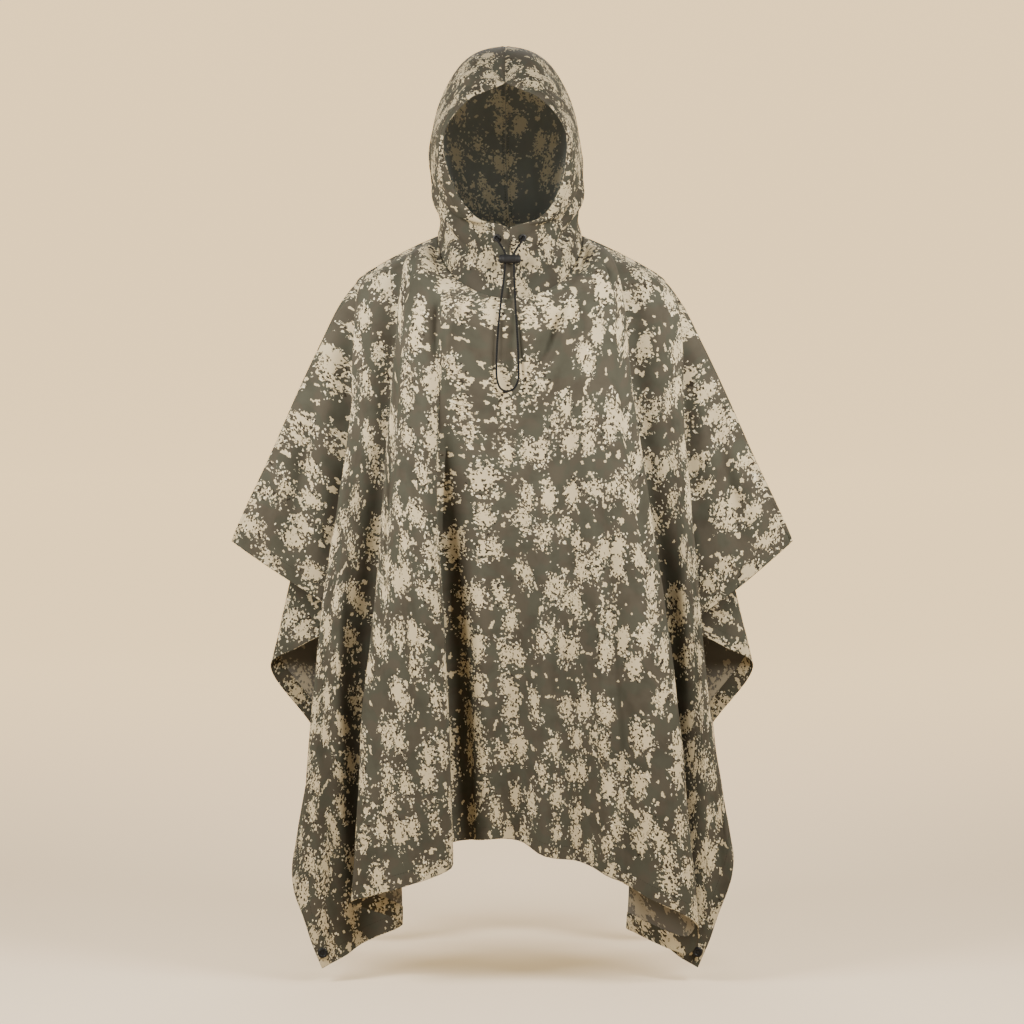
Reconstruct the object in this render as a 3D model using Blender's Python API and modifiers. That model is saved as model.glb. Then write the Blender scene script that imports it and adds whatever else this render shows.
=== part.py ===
"""Hooded rain poncho, filled out over a general figure with no wearer.

A rectangular cape of coated cloth, cut as a front and a back panel that meet at the shoulder line,
hangs from the shoulders and the lowered arms. Each panel is a fan of fold lines: every line starts
on the neckline or the shoulder line and ends on the hem or on the open side edge. A two-piece hood
stands on the neckline, its face edge is turned back into a casing, and a drawcord comes out of two
eyelets, passes a cord lock and hangs in a loop. A press stud sits at each of the four corners.

The origin is on the shoulder line in the middle of the neck, +Z is up and the front faces -Y.
"""
import math
from collections import namedtuple

import bmesh
import bpy
import numpy as np
from mathutils import Vector
from mathutils.bvhtree import BVHTree

MM = 0.001
MERGE = 0.00005

# Cloth and seams, in millimetres
CLOTH = 1.5
TURNED_CLOTH = 1.2
SEAM_GAP = 0.3
CASING_WIDTH = 17

# Half the width of the flat cut, along the shoulder line, in millimetres
HALF_WIDTH = 790.0

# Neckline, in millimetres: an oval that dips towards the front
NECK_HALF_WIDTH = 126.0
NECK_FRONT = Vector((0, -165, -98))
NECK_SIDE_Z = 3.0
NECK_BACK = Vector((0, 110, 10))

# Shoulder line from the neck to the wing tip: distance out along the cut, place across and height
ShoulderPoint = namedtuple("ShoulderPoint", "cut out z")
SHOULDER = [ShoulderPoint(*row) for row in (
    (126, 126, 3),
    (192, 185, -24),
    (272, 253, -65),
    (326, 289, -106),
    (408, 326, -179),
    (520, 373, -280),
    (644, 423, -394),
    (747, 468, -488),
    (HALF_WIDTH, 487, -528),
)]
REACH = {-1: 1.0, 1: 1.015}

# A fold line: its start on the neckline or shoulder line, its place across and its distance from
# the shoulder plane at a quarter and at six tenths of its drop, its end, and how it turns there
Fold = namedtuple("Fold", "name start out_high deep_high out_low deep_low out deep z turn")
SOFT, SHARP = (0.0, 0.5), (0.0, 0.16, 0.5, 0.84)

CENTRE_FRONT = Fold("centre", 0, 0, 184, 0, 196, 2, 200, -1024, SOFT)
FRONT_LEFT = [Fold(*row) for row in (
    ("centre_panel", 26, 52, 184, 58, 196, 62, 203, -1026, SOFT),
    ("valley_3", 50, 104, 183, 104, 196, 106, 194, -1034, SOFT),
    ("ridge_3", 60, 121, 193, 117, 216, 103, 237, -1067, SHARP),
    ("band", 84, 152, 190, 165, 228, 170, 252, -1093, SOFT),
    ("band_edge", 108, 184, 178, 206, 222, 232, 250, -1112, SOFT),
    ("ridge_2", 160, 208, 170, 236, 205, 271, 225, -1129, SHARP),
    ("inner_2", 172, 198, 146, 200, 172, 188, 190, -1170, SHARP),
    ("between", 190, 226, 136, 258, 156, 256, 170, -1211, SOFT),
    ("corner", 220, 256, 128, 303, 160, 324, 188, -1250, SOFT),
    ("side_edge", 240, 268, 121, 318, 156, 353, 176, -1173, SOFT),
    ("ridge_1", 258, 277, 112, 329, 150, 378, 160, -1101, SHARP),
    ("behind_1", 267, 270, 82, 316, 112, 364, 116, -1020, SOFT),
    ("hidden_1", 277, 262, 62, 292, 76, 306, 44, -880, SOFT),
    ("inner_1", 289, 264, 58, 276, 66, 287, 60, -664, SHARP),
    ("wing_1", 345, 303, 60, 315, 66, 324, 60, -632, SOFT),
    ("wing_2", 445, 350, 50, 366, 55, 383, 46, -594, SOFT),
    ("wing_3", 600, 411, 36, 425, 38, 440, 26, -558, SOFT),
    ("wing_tip", HALF_WIDTH, 487, 0, 487, 0, 487, 0, -528, SOFT),
)]
FRONT_RIGHT = [Fold(*row) for row in (
    ("crease_6", 30, 50, 188, 60, 207, 69, 222, -1051, SOFT),
    ("valley_6", 54, 88, 182, 104, 198, 118, 208, -1060, SOFT),
    ("crease_5", 78, 124, 192, 151, 219, 174, 241, -1083, SOFT),
    ("band", 106, 166, 186, 210, 226, 245, 248, -1121, SOFT),
    ("ridge_4", 150, 214, 164, 275, 203, 322, 222, -1172, SHARP),
    ("behind_4", 160, 207, 146, 264, 180, 309, 198, -1222, SOFT),
    ("inner_4", 172, 201, 138, 222, 170, 201, 190, -1180, SHARP),
    ("between", 190, 230, 130, 272, 156, 264, 168, -1214, SOFT),
    ("corner", 226, 270, 122, 318, 158, 324, 184, -1249, SOFT),
    ("side_edge", 264, 288, 118, 328, 154, 357, 174, -1166, SOFT),
    ("ridge_1", 300, 302, 110, 334, 146, 387, 160, -1077, SHARP),
    ("behind_1", 309, 294, 80, 322, 110, 370, 114, -1000, SOFT),
    ("hidden_1", 319, 288, 64, 306, 74, 318, 44, -880, SOFT),
    ("inner_1", 331, 290, 58, 304, 66, 325, 60, -664, SHARP),
    ("wing_1", 380, 322, 58, 338, 64, 358, 58, -634, SOFT),
    ("wing_2", 465, 362, 48, 382, 53, 402, 45, -602, SOFT),
    ("wing_3", 605, 417, 35, 436, 37, 452, 26, -562, SOFT),
    ("wing_tip", HALF_WIDTH, 487, 0, 487, 0, 487, 0, -524, SOFT),
)]
CENTRE_BACK = Fold("centre", 0, 0, 158, 0, 184, 0, 192, -1072, SOFT)
BACK_HALF = [Fold(*row) for row in (
    ("back_ridge_3", 46, 88, 166, 92, 206, 88, 228, -1088, SOFT),
    ("back_valley_3", 84, 138, 150, 146, 184, 140, 200, -1094, SOFT),
    ("back_band", 112, 170, 152, 186, 208, 194, 240, -1108, SOFT),
    ("back_ridge_2", 160, 204, 142, 226, 196, 250, 226, -1122, SHARP),
    ("back_inner_2", 172, 196, 122, 200, 168, 186, 184, -1150, SHARP),
    ("back_between", 190, 222, 116, 250, 160, 246, 172, -1184, SOFT),
    ("back_corner", 214, 248, 114, 294, 160, 312, 180, -1218, SOFT),
    ("back_edge_3", 228, 258, 110, 304, 150, 330, 158, -1110, SOFT),
    ("back_edge_2", 240, 262, 104, 290, 140, 296, 140, -985, SOFT),
    ("back_edge_1", 251, 272, 96, 326, 122, 350, 112, -872, SOFT),
    ("back_ridge_1", 263, 288, 80, 356, 92, 423, 76, -754, SHARP),
    ("back_front_1", 273, 278, 62, 326, 70, 372, 62, -721, SOFT),
    ("back_inner_1", 285, 266, 52, 283, 52, 291, 44, -667, SHARP),
    ("back_wing_1", 345, 303, 56, 318, 52, 330, 40, -636, SOFT),
    ("back_wing_2", 445, 350, 48, 367, 46, 384, 34, -596, SOFT),
    ("back_wing_3", 600, 411, 34, 425, 34, 440, 22, -559, SOFT),
    ("back_wing_tip", HALF_WIDTH, 487, 0, 487, 0, 487, 0, -528, SOFT),
)]
PANELS = {
    -1: ({-1: FRONT_LEFT, 1: FRONT_RIGHT}, CENTRE_FRONT),
    1: ({-1: BACK_HALF, 1: BACK_HALF}, CENTRE_BACK),
}

# How a fold line leaves its start, as shares of the way to its upper station
ROLL_OUT = 0.55
ROLL_DROP = 0.12
UPPER_STATION = 0.25
LOWER_STATION = 0.60

# Where a panel is also sampled before the neckline's corner, as a share of the neck's half width
BEFORE_CORNER = 0.93

# Rows across every fold line, as shares of its length
PANEL_ROWS = (0, 0.06, 0.15, 0.27, 0.4, 0.53, 0.66, 0.79, 0.91, 1)

# Hood ribs from the neckline up to the peak of the brim: the face edge, the widest place at the
# side and the place on the centre seam
Rib = namedtuple("Rib", "edge_out edge_y edge_z side_out side_y side_z seam_y seam_z")
HOOD_RIBS = [Rib(*row) for row in (
    (0, NECK_FRONT.y, NECK_FRONT.z, NECK_HALF_WIDTH, 0, NECK_SIDE_Z, NECK_BACK.y, NECK_BACK.z),
    (0, -151, -45, 119, -4, 32, 108, 60),
    (0, -146, 19, 125, -6, 66, 124, 116),
    (50, -143, 37, 129, -6, 92, 136, 152),
    (75, -142, 62, 131, -6, 118, 143, 184),
    (96, -142, 104, 130, -6, 150, 144, 220),
    (106, -145, 168, 122, -6, 205, 128, 272),
    (98, -148, 200, 107, -8, 245, 98, 306),
    (60, -151, 243, 80, -30, 288, 36, 330),
    (28, -152, 258, 44, -92, 304, -66, 322),
    (0, -150, 269, 0, -150, 269, -150, 269),
)]
CHIN_RIB = 2
HOOD_LEAN = -8.0
LEAN_HEIGHT = 150.0
RIB_STATIONS = 10

# How far the hood's lower edge stands off the panels, beside the seam gap: all of it at the sides,
# where the two walls meet at a right angle, and this share of it in front and behind
SEAM_RAISE = 2.3
FRONT_RAISE = 0.55

# Casing: rows across it, how far it lies inside the hood's skin, and how often half the face edge
# is sampled between neighbouring ribs: more closely round the chin, up to the turn of the jaw
CASING_ROWS = (0, CASING_WIDTH / 3, 2 * CASING_WIDTH / 3, CASING_WIDTH)
CASING_INSET = 1.4
JAW_RIB = 4
JAW_STEP, FACE_STEP = 0.25, 0.5
OPENING_CENTRE = Vector((0, -146, 140))

# Hardware, in millimetres
EYELET_TURN = 0.132
EYELET_RIB = 1.725
EYELET_FLANGE_RADIUS = 6.2
EYELET_NECK_RADIUS = 4.0
EYELET_BORE_RADIUS = 2.8
EYELET_RISE = 1.4
EYELET_HOLE_RADIUS = 4.4
STUD_RADIUS = 8.8
STUD_RISE = 3.4
STUD_UP_THE_FOLD = 25.0
LOCK_LENGTH = 38.0
LOCK_RADIUS = 7.6
LOCK_WAIST_RADIUS = 6.6
LOCK_CENTRE = Vector((-0.5, -163.6, -30.0))
LOCK_BORE_RADIUS = 2.6
LOCK_BORE_SPACING = 14.8
CORD_RADIUS = 1.75
TURN_STEPS = 16

# Drawcord route from the left eyelet, through the lock, round the loop and back to the right one
CORD_ROUTE = (
    (-22.2, -145.4, 6.0), (-23.4, -151.0, 5.8), (-22.4, -157.0, 4.0), (-18.5, -161.5, -2.6),
    (-12.5, -163.2, -11.5), (-8.6, -163.2, -20.0), (-7.9, -163.0, -30.0), (-8.3, -163.4, -40.0),
    (-10.0, -166.4, -58.0), (-13.0, -171.4, -84.0), (-16.5, -176.6, -112.0),
    (-19.5, -181.8, -142.0), (-21.8, -184.2, -175.0), (-23.0, -186.0, -208.0),
    (-22.0, -187.4, -234.0), (-16.0, -188.0, -249.5), (-5.5, -188.2, -254.5),
    (6.0, -188.3, -250.5), (13.6, -188.0, -236.0), (14.6, -186.8, -208.0), (13.4, -184.9, -175.0),
    (11.6, -182.4, -142.0), (9.6, -176.8, -112.0), (8.4, -171.4, -84.0), (7.2, -166.4, -58.0),
    (6.9, -163.4, -40.0), (6.9, -163.0, -30.0), (7.6, -163.2, -20.0), (12.0, -163.2, -11.5),
    (18.5, -161.5, -2.6), (22.9, -157.0, 4.0), (24.0, -151.0, 5.8), (22.8, -145.4, 6.0),
)
CORD_POINTS = 72

# Finishes: base colour, roughness, metallic
FINISHES = {
    "camouflage_cloth": ((0.30, 0.28, 0.21), 0.72, 0.0),
    "black_metal": ((0.02, 0.02, 0.02), 0.42, 0.9),
    "black_plastic": ((0.012, 0.012, 0.012), 0.45, 0.0),
    "black_cord": ((0.014, 0.014, 0.014), 0.8, 0.0),
}


def smooth(knots, at):
    """Points on the centripetal curve through knots, at knot numbers with fractions."""
    knots = np.asarray(knots, float)
    ends = np.concatenate((2 * knots[:1] - knots[1:2], knots, 2 * knots[-1:] - knots[-2:-1]))
    chords = np.diff(ends, axis=0)
    steps = np.sqrt(np.maximum(np.linalg.norm(chords, axis=-1, keepdims=True), 1e-3))
    slopes = chords / steps
    tangents = (slopes[:-1] * steps[1:] + slopes[1:] * steps[:-1]) / (steps[:-1] + steps[1:])
    points = []
    for place in at:
        i = min(int(place), len(knots) - 2)
        f = place - i
        reach = steps[i + 1]
        start, end = knots[i], knots[i + 1]
        points.append(
            (2 * f**3 - 3 * f**2 + 1) * start
            + (f**3 - 2 * f**2 + f) * reach * tangents[i]
            + (3 * f**2 - 2 * f**3) * end
            + (f**3 - f**2) * reach * tangents[i + 1]
        )
    return np.array(points)


def along(points, shares):
    """The points at the given shares of a line's length."""
    lengths = np.append(0, np.cumsum(np.linalg.norm(np.diff(points, axis=0), axis=1)))
    places = np.asarray(shares) * lengths[-1]
    return np.stack([np.interp(places, lengths, points[:, k]) for k in range(3)], 1)


def neckline(cut, side, face):
    """A point of the neckline, cut millimetres out from its middle, on the front (-1) or back."""
    turn = math.asin(min(1.0, cut / NECK_HALF_WIDTH))
    middle = NECK_FRONT if face < 0 else NECK_BACK
    return np.array((
        side * NECK_HALF_WIDTH * math.sin(turn),
        middle.y * math.cos(turn) + face * SEAM_GAP / 2 * math.sin(turn),
        NECK_SIDE_Z + (middle.z - NECK_SIDE_Z) * math.cos(turn),
    ))


def shoulder_line(cut, side, face):
    """A point of the shoulder line, cut millimetres out from the middle of the neck."""
    knots = [(point.out, 0, point.z) for point in SHOULDER]
    place = np.interp(cut, [point.cut for point in SHOULDER], range(len(SHOULDER)))
    out, _, z = smooth(knots, [place])[0]
    share = np.clip((out - NECK_HALF_WIDTH) / NECK_HALF_WIDTH, 0, 1)
    reach = 1 + (REACH[side] - 1) * share
    return np.array((side * out * reach, face * SEAM_GAP / 2, z))


def top_edge(cut, side, face):
    """A point on the upper edge of a panel."""
    if cut < NECK_HALF_WIDTH:
        return neckline(cut, side, face)
    return shoulder_line(cut, side, face)


def fold_line(fold, side, face, shares):
    """The points of one fold line at the given shares of its length."""
    top = top_edge(fold.start, side, face)
    reach = 1.0 if face < 0 else REACH[side]
    if fold.start == HALF_WIDTH:
        return np.repeat(top[None], len(shares), 0)

    def station(out, deep, share):
        return np.array((side * out * reach, face * deep, top[2] + share * (fold.z - top[2])))

    upper = station(fold.out_high, fold.deep_high, UPPER_STATION)
    lower = station(fold.out_low, fold.deep_low, LOWER_STATION)
    end = station(fold.out, fold.deep, 1)
    roll = top + (upper - top) * np.array((ROLL_OUT, ROLL_OUT, ROLL_DROP))
    line = smooth((top, roll, upper, lower, end), np.linspace(0, 4, 81))
    return along(line, shares)


def panel_folds(face):
    """The fold lines of the front (-1) or back panel from left to right, each with its side."""
    halves, middle = PANELS[face]
    folds = [(-1, fold) for fold in reversed(halves[-1])] + [(1, middle)]
    return folds + [(1, fold) for fold in halves[1]]


def samples_across(face):
    """Where a panel is sampled across its fold lines: more closely where a fold is sharp.

    Where the neckline meets the shoulder line, the middle of that span gives way to the corner
    and to a place just before it.
    """
    folds = panel_folds(face)
    starts = [side * fold.start for side, fold in folds]
    cuts = [share * NECK_HALF_WIDTH for share in (-1, -BEFORE_CORNER, BEFORE_CORNER, 1)]
    corners = np.interp(cuts, starts, range(len(starts)))
    at = []
    for i, ((_, fold), (_, after)) in enumerate(zip(folds, folds[1:])):
        turns = {share for share in fold.turn if share < 0.5}
        turns |= {share for share in after.turn if share >= 0.5}
        middle = [corner - i for corner in corners if i < corner < i + 1] or [0.5]
        at += [i + share for share in sorted(turns - {0.5} | set(middle))]
    return at + [len(folds) - 1]


def panel_points(face, at, shares=PANEL_ROWS):
    """The inner skin of a panel: for each place across its fold lines, a row of points down."""
    folds = panel_folds(face)
    lines = [fold_line(fold, side, face, shares) for side, fold in folds]
    points = smooth(np.array(lines), at)
    starts = [side * fold.start for side, fold in folds]
    tops = []
    for place in at:
        cut = np.interp(place, range(len(folds)), starts)
        tops.append(top_edge(abs(cut), -1 if cut < 0 else 1, face))
    fade = np.clip(1 - np.asarray(shares) / PANEL_ROWS[3], 0, 1)
    points += (np.array(tops) - points[:, 0])[:, None] * fade[None, :, None]
    return points


def rib_points(rib, side, turns):
    """The points of one hood rib from the face edge (0) round the side (1) to the seam (2)."""
    points = []
    for turn in turns:
        angle = math.radians(90 * min(turn, 2 - turn))
        if turn <= 1:
            out = rib.edge_out + (rib.side_out - rib.edge_out) * math.sin(angle)
            y = rib.side_y + (rib.edge_y - rib.side_y) * math.cos(angle)
            z = rib.side_z + (rib.edge_z - rib.side_z) * math.cos(angle)
        else:
            out = rib.side_out * math.sin(angle)
            y = rib.side_y + (rib.seam_y - rib.side_y) * math.cos(angle)
            z = rib.side_z + (rib.seam_z - rib.side_z) * math.cos(angle)
        points.append((side * out, y, z))
    return np.array(points)


def hood_points(side, places, turns):
    """The inner skin of half the hood, a row for each place between its ribs."""
    points = smooth([rib_points(rib, side, turns) for rib in HOOD_RIBS], places)
    points[..., 0] = side * np.maximum(side * points[..., 0], 0)
    points[..., 0] += HOOD_LEAN * np.clip(points[..., 2] / LEAN_HEIGHT, 0, 1)
    return points


def finish(name):
    """The material of that name."""
    material = bpy.data.materials.get(name)
    if material is None:
        colour, roughness, metallic = FINISHES[name]
        material = bpy.data.materials.new(name)
        material.use_nodes = True
        shader = material.node_tree.nodes["Principled BSDF"]
        shader.inputs["Base Color"].default_value = (*colour, 1)
        shader.inputs["Roughness"].default_value = roughness
        shader.inputs["Metallic"].default_value = metallic
        material.diffuse_color = (*colour, 1)
    return material


def add_object(name, data, collection, material):
    """A new object for the mesh or curve, with a finish of its own."""
    built = bpy.data.objects.new(name, data)
    collection.objects.link(built)
    own = finish(material).copy()
    own.name = f"{name}_finish"
    data.materials.append(own)
    return built


def grid_mesh(name, grid, closed=False, flipped=False):
    """An open surface on a grid of points, one column after another."""
    mesh = bpy.data.meshes.new(name)
    bm = bmesh.new()
    verts = [[bm.verts.new(Vector(point) * MM) for point in column] for column in grid]
    for i in range(len(verts) if closed else len(verts) - 1):
        here, after = verts[i], verts[(i + 1) % len(verts)]
        for j in range(len(here) - 1):
            corners = (here[j], here[j + 1], after[j + 1], after[j])
            bm.faces.new(corners[:1] + corners[:0:-1] if flipped else corners)
    bmesh.ops.remove_doubles(bm, verts=bm.verts, dist=MERGE)
    bmesh.ops.triangulate(bm, faces=bm.faces, quad_method="FIXED")
    bm.to_mesh(mesh)
    bm.free()
    mesh.shade_smooth()
    return mesh


def add_cloth(name, mesh, collection, wall=CLOTH, outward=True):
    """A wall of cloth grown from a surface whose faces look out of the garment."""
    built = add_object(name, mesh, collection, "camouflage_cloth")
    solid = built.modifiers.new("wall", "SOLIDIFY")
    solid.thickness = wall * MM
    solid.offset = 1 if outward else -1
    return built


def add_panel(name, face, collection):
    """The front or back panel."""
    grid = panel_points(face, samples_across(face))
    return add_cloth(name, grid_mesh(name, grid, flipped=face > 0), collection)


def hood_grid(side, places, turns):
    """Half the hood's skin, set clear of the panels below and of the other half."""
    grid = hood_points(side, places, turns)
    grid[..., 0] += side * SEAM_GAP / 2
    lift = np.clip(1 - np.asarray(places), 0, 1)[:, None]
    across = np.sin(np.clip(turns, 0, 2) * math.pi / 2)
    grid[..., 2] += lift * (SEAM_GAP + SEAM_RAISE * (FRONT_RAISE + (1 - FRONT_RAISE) * across))
    return grid


def hood_places():
    """Where the hood is sampled from the neckline up: twice between neighbouring ribs."""
    return np.linspace(0, len(HOOD_RIBS) - 1, 2 * len(HOOD_RIBS) - 1)


def hood_turns():
    """Where the hood is sampled round its ribs, from the face edge to the centre seam."""
    return np.linspace(0, 2, RIB_STATIONS + 1)


def hood_mesh(name, side):
    """The inner skin of half the hood."""
    return grid_mesh(name, hood_grid(side, hood_places(), hood_turns()), flipped=side < 0)


def add_hood_half(name, side, collection):
    """One half of the hood, with the hole for its eyelet."""
    built = add_cloth(name, hood_mesh(name, side), collection)
    place, outward = eyelet_frame(side)
    hole = add_turned(
        f"{name}_hole", [(EYELET_HOLE_RADIUS, 6 * CLOTH), (EYELET_HOLE_RADIUS, -6 * CLOTH)],
        place, outward, cutters_of(collection), "black_metal",
    )
    cut_with(built, hole)
    return built


def cutters_of(collection):
    """The collection that holds the cutters beside the object's own."""
    name = f"{collection.name}_cutters"
    found = bpy.data.collections.get(name)
    if found is None:
        found = bpy.data.collections.new(name)
        bpy.context.scene.collection.children.link(found)
    return found


def cut_with(built, cutter):
    """Takes the cutter out of the object."""
    cutter.hide_render = True
    cutter.display_type = "WIRE"
    cut = built.modifiers.new(cutter.name, "BOOLEAN")
    cut.operation = "DIFFERENCE"
    cut.solver = "EXACT"
    cut.object = cutter


def add_turned(name, profile, place, axis, collection, material, closed=False):
    """A turned piece: a profile of radius and height, top to bottom, round an axis at a place."""
    mesh = bpy.data.meshes.new(name)
    bm = bmesh.new()
    verts = [bm.verts.new((radius * MM, 0, height * MM)) for radius, height in profile]
    pairs = list(zip(verts, verts[1:]))
    if closed:
        pairs.append((verts[-1], verts[0]))
    elif profile[0][0] > 0:
        pairs.insert(0, (bm.verts.new((0, 0, profile[0][1] * MM)), verts[0]))
        pairs.append((verts[-1], bm.verts.new((0, 0, profile[-1][1] * MM))))
    for pair in pairs:
        bm.edges.new(pair)
    bm.to_mesh(mesh)
    bm.free()
    built = add_object(name, mesh, collection, material)
    built.location = Vector(place) * MM
    built.rotation_euler = Vector(axis).to_track_quat("Z", "Y").to_euler()
    screw = built.modifiers.new("turn", "SCREW")
    screw.steps = screw.render_steps = TURN_STEPS
    screw.use_merge_vertices = True
    screw.merge_threshold = MERGE
    screw.use_smooth_shade = True
    return built


def outer_face(here, across, up):
    """A place moved out to the cloth's outer face, given two ways along it, and its normal."""
    normal = np.cross(across, up)
    normal /= np.linalg.norm(normal)
    return here + normal * (CLOTH + SEAM_GAP), normal


def eyelet_frame(side):
    """Where an eyelet sits on the hood, just below the chin."""
    grid = hood_grid(side, (EYELET_RIB, EYELET_RIB + 0.1), (EYELET_TURN, EYELET_TURN + 0.05))
    return outer_face(grid[0, 0], side * (grid[0, 1] - grid[0, 0]), grid[1, 0] - grid[0, 0])


def add_eyelet(name, side, collection):
    """A turned eyelet: a flange on the cloth and a neck down through it."""
    place, outward = eyelet_frame(side)
    lowest = -(CLOTH + SEAM_GAP)
    middle_radius = (EYELET_FLANGE_RADIUS + EYELET_BORE_RADIUS) / 2
    profile = [
        (EYELET_BORE_RADIUS + 0.3, EYELET_RISE * 0.8), (middle_radius, EYELET_RISE),
        (EYELET_FLANGE_RADIUS - 0.5, EYELET_RISE * 0.7), (EYELET_FLANGE_RADIUS, EYELET_RISE * 0.2),
        (EYELET_FLANGE_RADIUS, 0), (EYELET_NECK_RADIUS, 0), (EYELET_NECK_RADIUS, lowest),
        (EYELET_BORE_RADIUS, lowest), (EYELET_BORE_RADIUS, EYELET_RISE * 0.5),
    ]
    return add_turned(name, profile, place, outward, collection, "black_metal", closed=True)


def stud_frame(face, side, fold_name):
    """Where a press stud sits, just above the end of a fold line, on the outer face."""
    names = [(owner, fold.name) for owner, fold in panel_folds(face)]
    place = names.index((side, fold_name))
    fold = panel_folds(face)[place][1]
    drop = top_edge(fold.start, side, face)[2] - fold.z
    share = 1 - STUD_UP_THE_FOLD / drop
    at = (place - 0.06, place, place + 0.06)
    grid = panel_points(face, at, (share - 0.01, share, share + 0.01))
    return outer_face(grid[1, 1], -face * (grid[2, 1] - grid[0, 1]), grid[1, 0] - grid[1, 2])


def add_stud(name, face, side, fold_name, collection):
    """A press stud's cap: a domed ring round a hollow middle."""
    place, outward = stud_frame(face, side, fold_name)
    profile = [
        (STUD_RADIUS * 0.3, STUD_RISE * 0.55), (STUD_RADIUS * 0.45, STUD_RISE * 0.8),
        (STUD_RADIUS * 0.65, STUD_RISE), (STUD_RADIUS * 0.88, STUD_RISE * 0.75),
        (STUD_RADIUS, STUD_RISE * 0.3), (STUD_RADIUS, 0),
    ]
    return add_turned(name, profile, place, outward, collection, "black_metal")


def add_lock(collection):
    """The cord lock: a barrel lying across, with a bore for each strand."""
    half = LOCK_LENGTH / 2
    profile = [
        (LOCK_RADIUS * 0.55, half), (LOCK_RADIUS * 0.9, half * 0.93), (LOCK_RADIUS, half * 0.82),
        (LOCK_RADIUS, half * 0.62), (LOCK_WAIST_RADIUS, half * 0.52),
        (LOCK_WAIST_RADIUS, -half * 0.52), (LOCK_RADIUS, -half * 0.62),
        (LOCK_RADIUS, -half * 0.82), (LOCK_RADIUS * 0.9, -half * 0.93), (LOCK_RADIUS * 0.55, -half),
    ]
    lock = add_turned("cord_lock", profile, LOCK_CENTRE, (1, 0, 0), collection, "black_plastic")
    for side in (-1, 1):
        place = LOCK_CENTRE + Vector((side * LOCK_BORE_SPACING / 2, 0, 0))
        bore = add_turned(
            f"cord_lock_bore_{side + 2}",
            [(LOCK_BORE_RADIUS, 2 * LOCK_RADIUS), (LOCK_BORE_RADIUS, -2 * LOCK_RADIUS)],
            place, (0, 0, 1), cutters_of(collection), "black_plastic",
        )
        cut_with(lock, bore)
    return lock


def add_cord(collection):
    """The drawcord, one loop from eyelet to eyelet through the lock."""
    data = bpy.data.curves.new("drawcord", "CURVE")
    data.dimensions = "3D"
    data.bevel_depth = CORD_RADIUS * MM
    data.bevel_resolution = 2
    data.use_fill_caps = True
    route = smooth(CORD_ROUTE, np.linspace(0, len(CORD_ROUTE) - 1, 20 * len(CORD_ROUTE)))
    points = along(route, np.linspace(0, 1, CORD_POINTS))
    spline = data.splines.new("POLY")
    spline.points.add(len(points) - 1)
    for point, place in zip(spline.points, points):
        point.co = (*(place * MM), 1)
    return add_object("drawcord", data, collection, "black_cord")


def opening_edge():
    """The hood's face edge as a ring: up its left side, over the peak and down its right."""
    chin = np.arange(CHIN_RIB, JAW_RIB, JAW_STEP)
    places = np.append(chin, np.arange(JAW_RIB, len(HOOD_RIBS) - 1 + FACE_STEP / 2, FACE_STEP))
    left = hood_grid(-1, places, (0, 0.08))
    right = hood_grid(1, places, (0, 0.08))
    return np.concatenate((left[:, 0], right[-2:0:-1, 0]))


def hood_skin():
    """The hood's inner skin as a tree for nearest points, with its normals looking out."""
    corners, faces = [], []
    for side in (-1, 1):
        mesh = hood_mesh("skin", side)
        first = len(corners)
        corners += [corner.co / MM for corner in mesh.vertices]
        faces += [[first + k for k in face.vertices] for face in mesh.polygons]
        bpy.data.meshes.remove(mesh)
    return BVHTree.FromPolygons(corners, faces)


def add_casing(collection):
    """The face edge turned back inside the hood as a tunnel for the cord."""
    skin = hood_skin()
    ring = opening_edge()
    grid = []
    for i, point in enumerate(ring):
        edge = Vector(ring[(i + 1) % len(ring)] - ring[i - 1]).normalized()
        point = Vector(point)
        outward = point - OPENING_CENTRE
        column = []
        for width in CASING_ROWS:
            place, normal, _, _ = skin.find_nearest(point)
            if width:
                away = edge.cross(normal)
                away *= 1 if away.dot(outward) > 0 else -1
                place, normal, _, _ = skin.find_nearest(point + away.normalized() * width)
            column.append(place - normal * CASING_INSET)
        grid.append(column)
    mesh = grid_mesh("face_casing", grid, closed=True, flipped=True)
    return add_cloth("face_casing", mesh, collection, TURNED_CLOTH, outward=False)


def main():
    for old in list(bpy.data.objects):
        bpy.data.objects.remove(old, do_unlink=True)
    poncho = bpy.data.collections.new("rain_poncho")
    bpy.context.scene.collection.children.link(poncho)
    add_panel("front_panel", -1, poncho)
    add_panel("back_panel", 1, poncho)
    for side, word in ((-1, "left"), (1, "right")):
        add_hood_half(f"hood_{word}", side, poncho)
        add_eyelet(f"eyelet_{word}", side, poncho)
        add_stud(f"stud_front_{word}", -1, side, "corner", poncho)
        add_stud(f"stud_back_{word}", 1, side, "back_corner", poncho)
    add_casing(poncho)
    add_lock(poncho)
    add_cord(poncho)


main()
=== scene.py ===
"""Hooded rain poncho in camouflage cloth: its finished cloth, hems, stitches and fittings.

The two panels, the hood and its casing are drawn from the same fold lines and ribs as the solids
they stand for, only finer. Creases then deepen the valleys between the folds and add small ones.
Each carries its flat cut as a UV map in metres, named cut, which the print follows. Lengths in the
tables are millimetres. The front faces -Y and +Z is up.
"""
import math
from collections import namedtuple
from functools import lru_cache

import bmesh
import bpy
import numpy as np
from mathutils import Matrix, Vector
from mathutils.bvhtree import BVHTree


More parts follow.
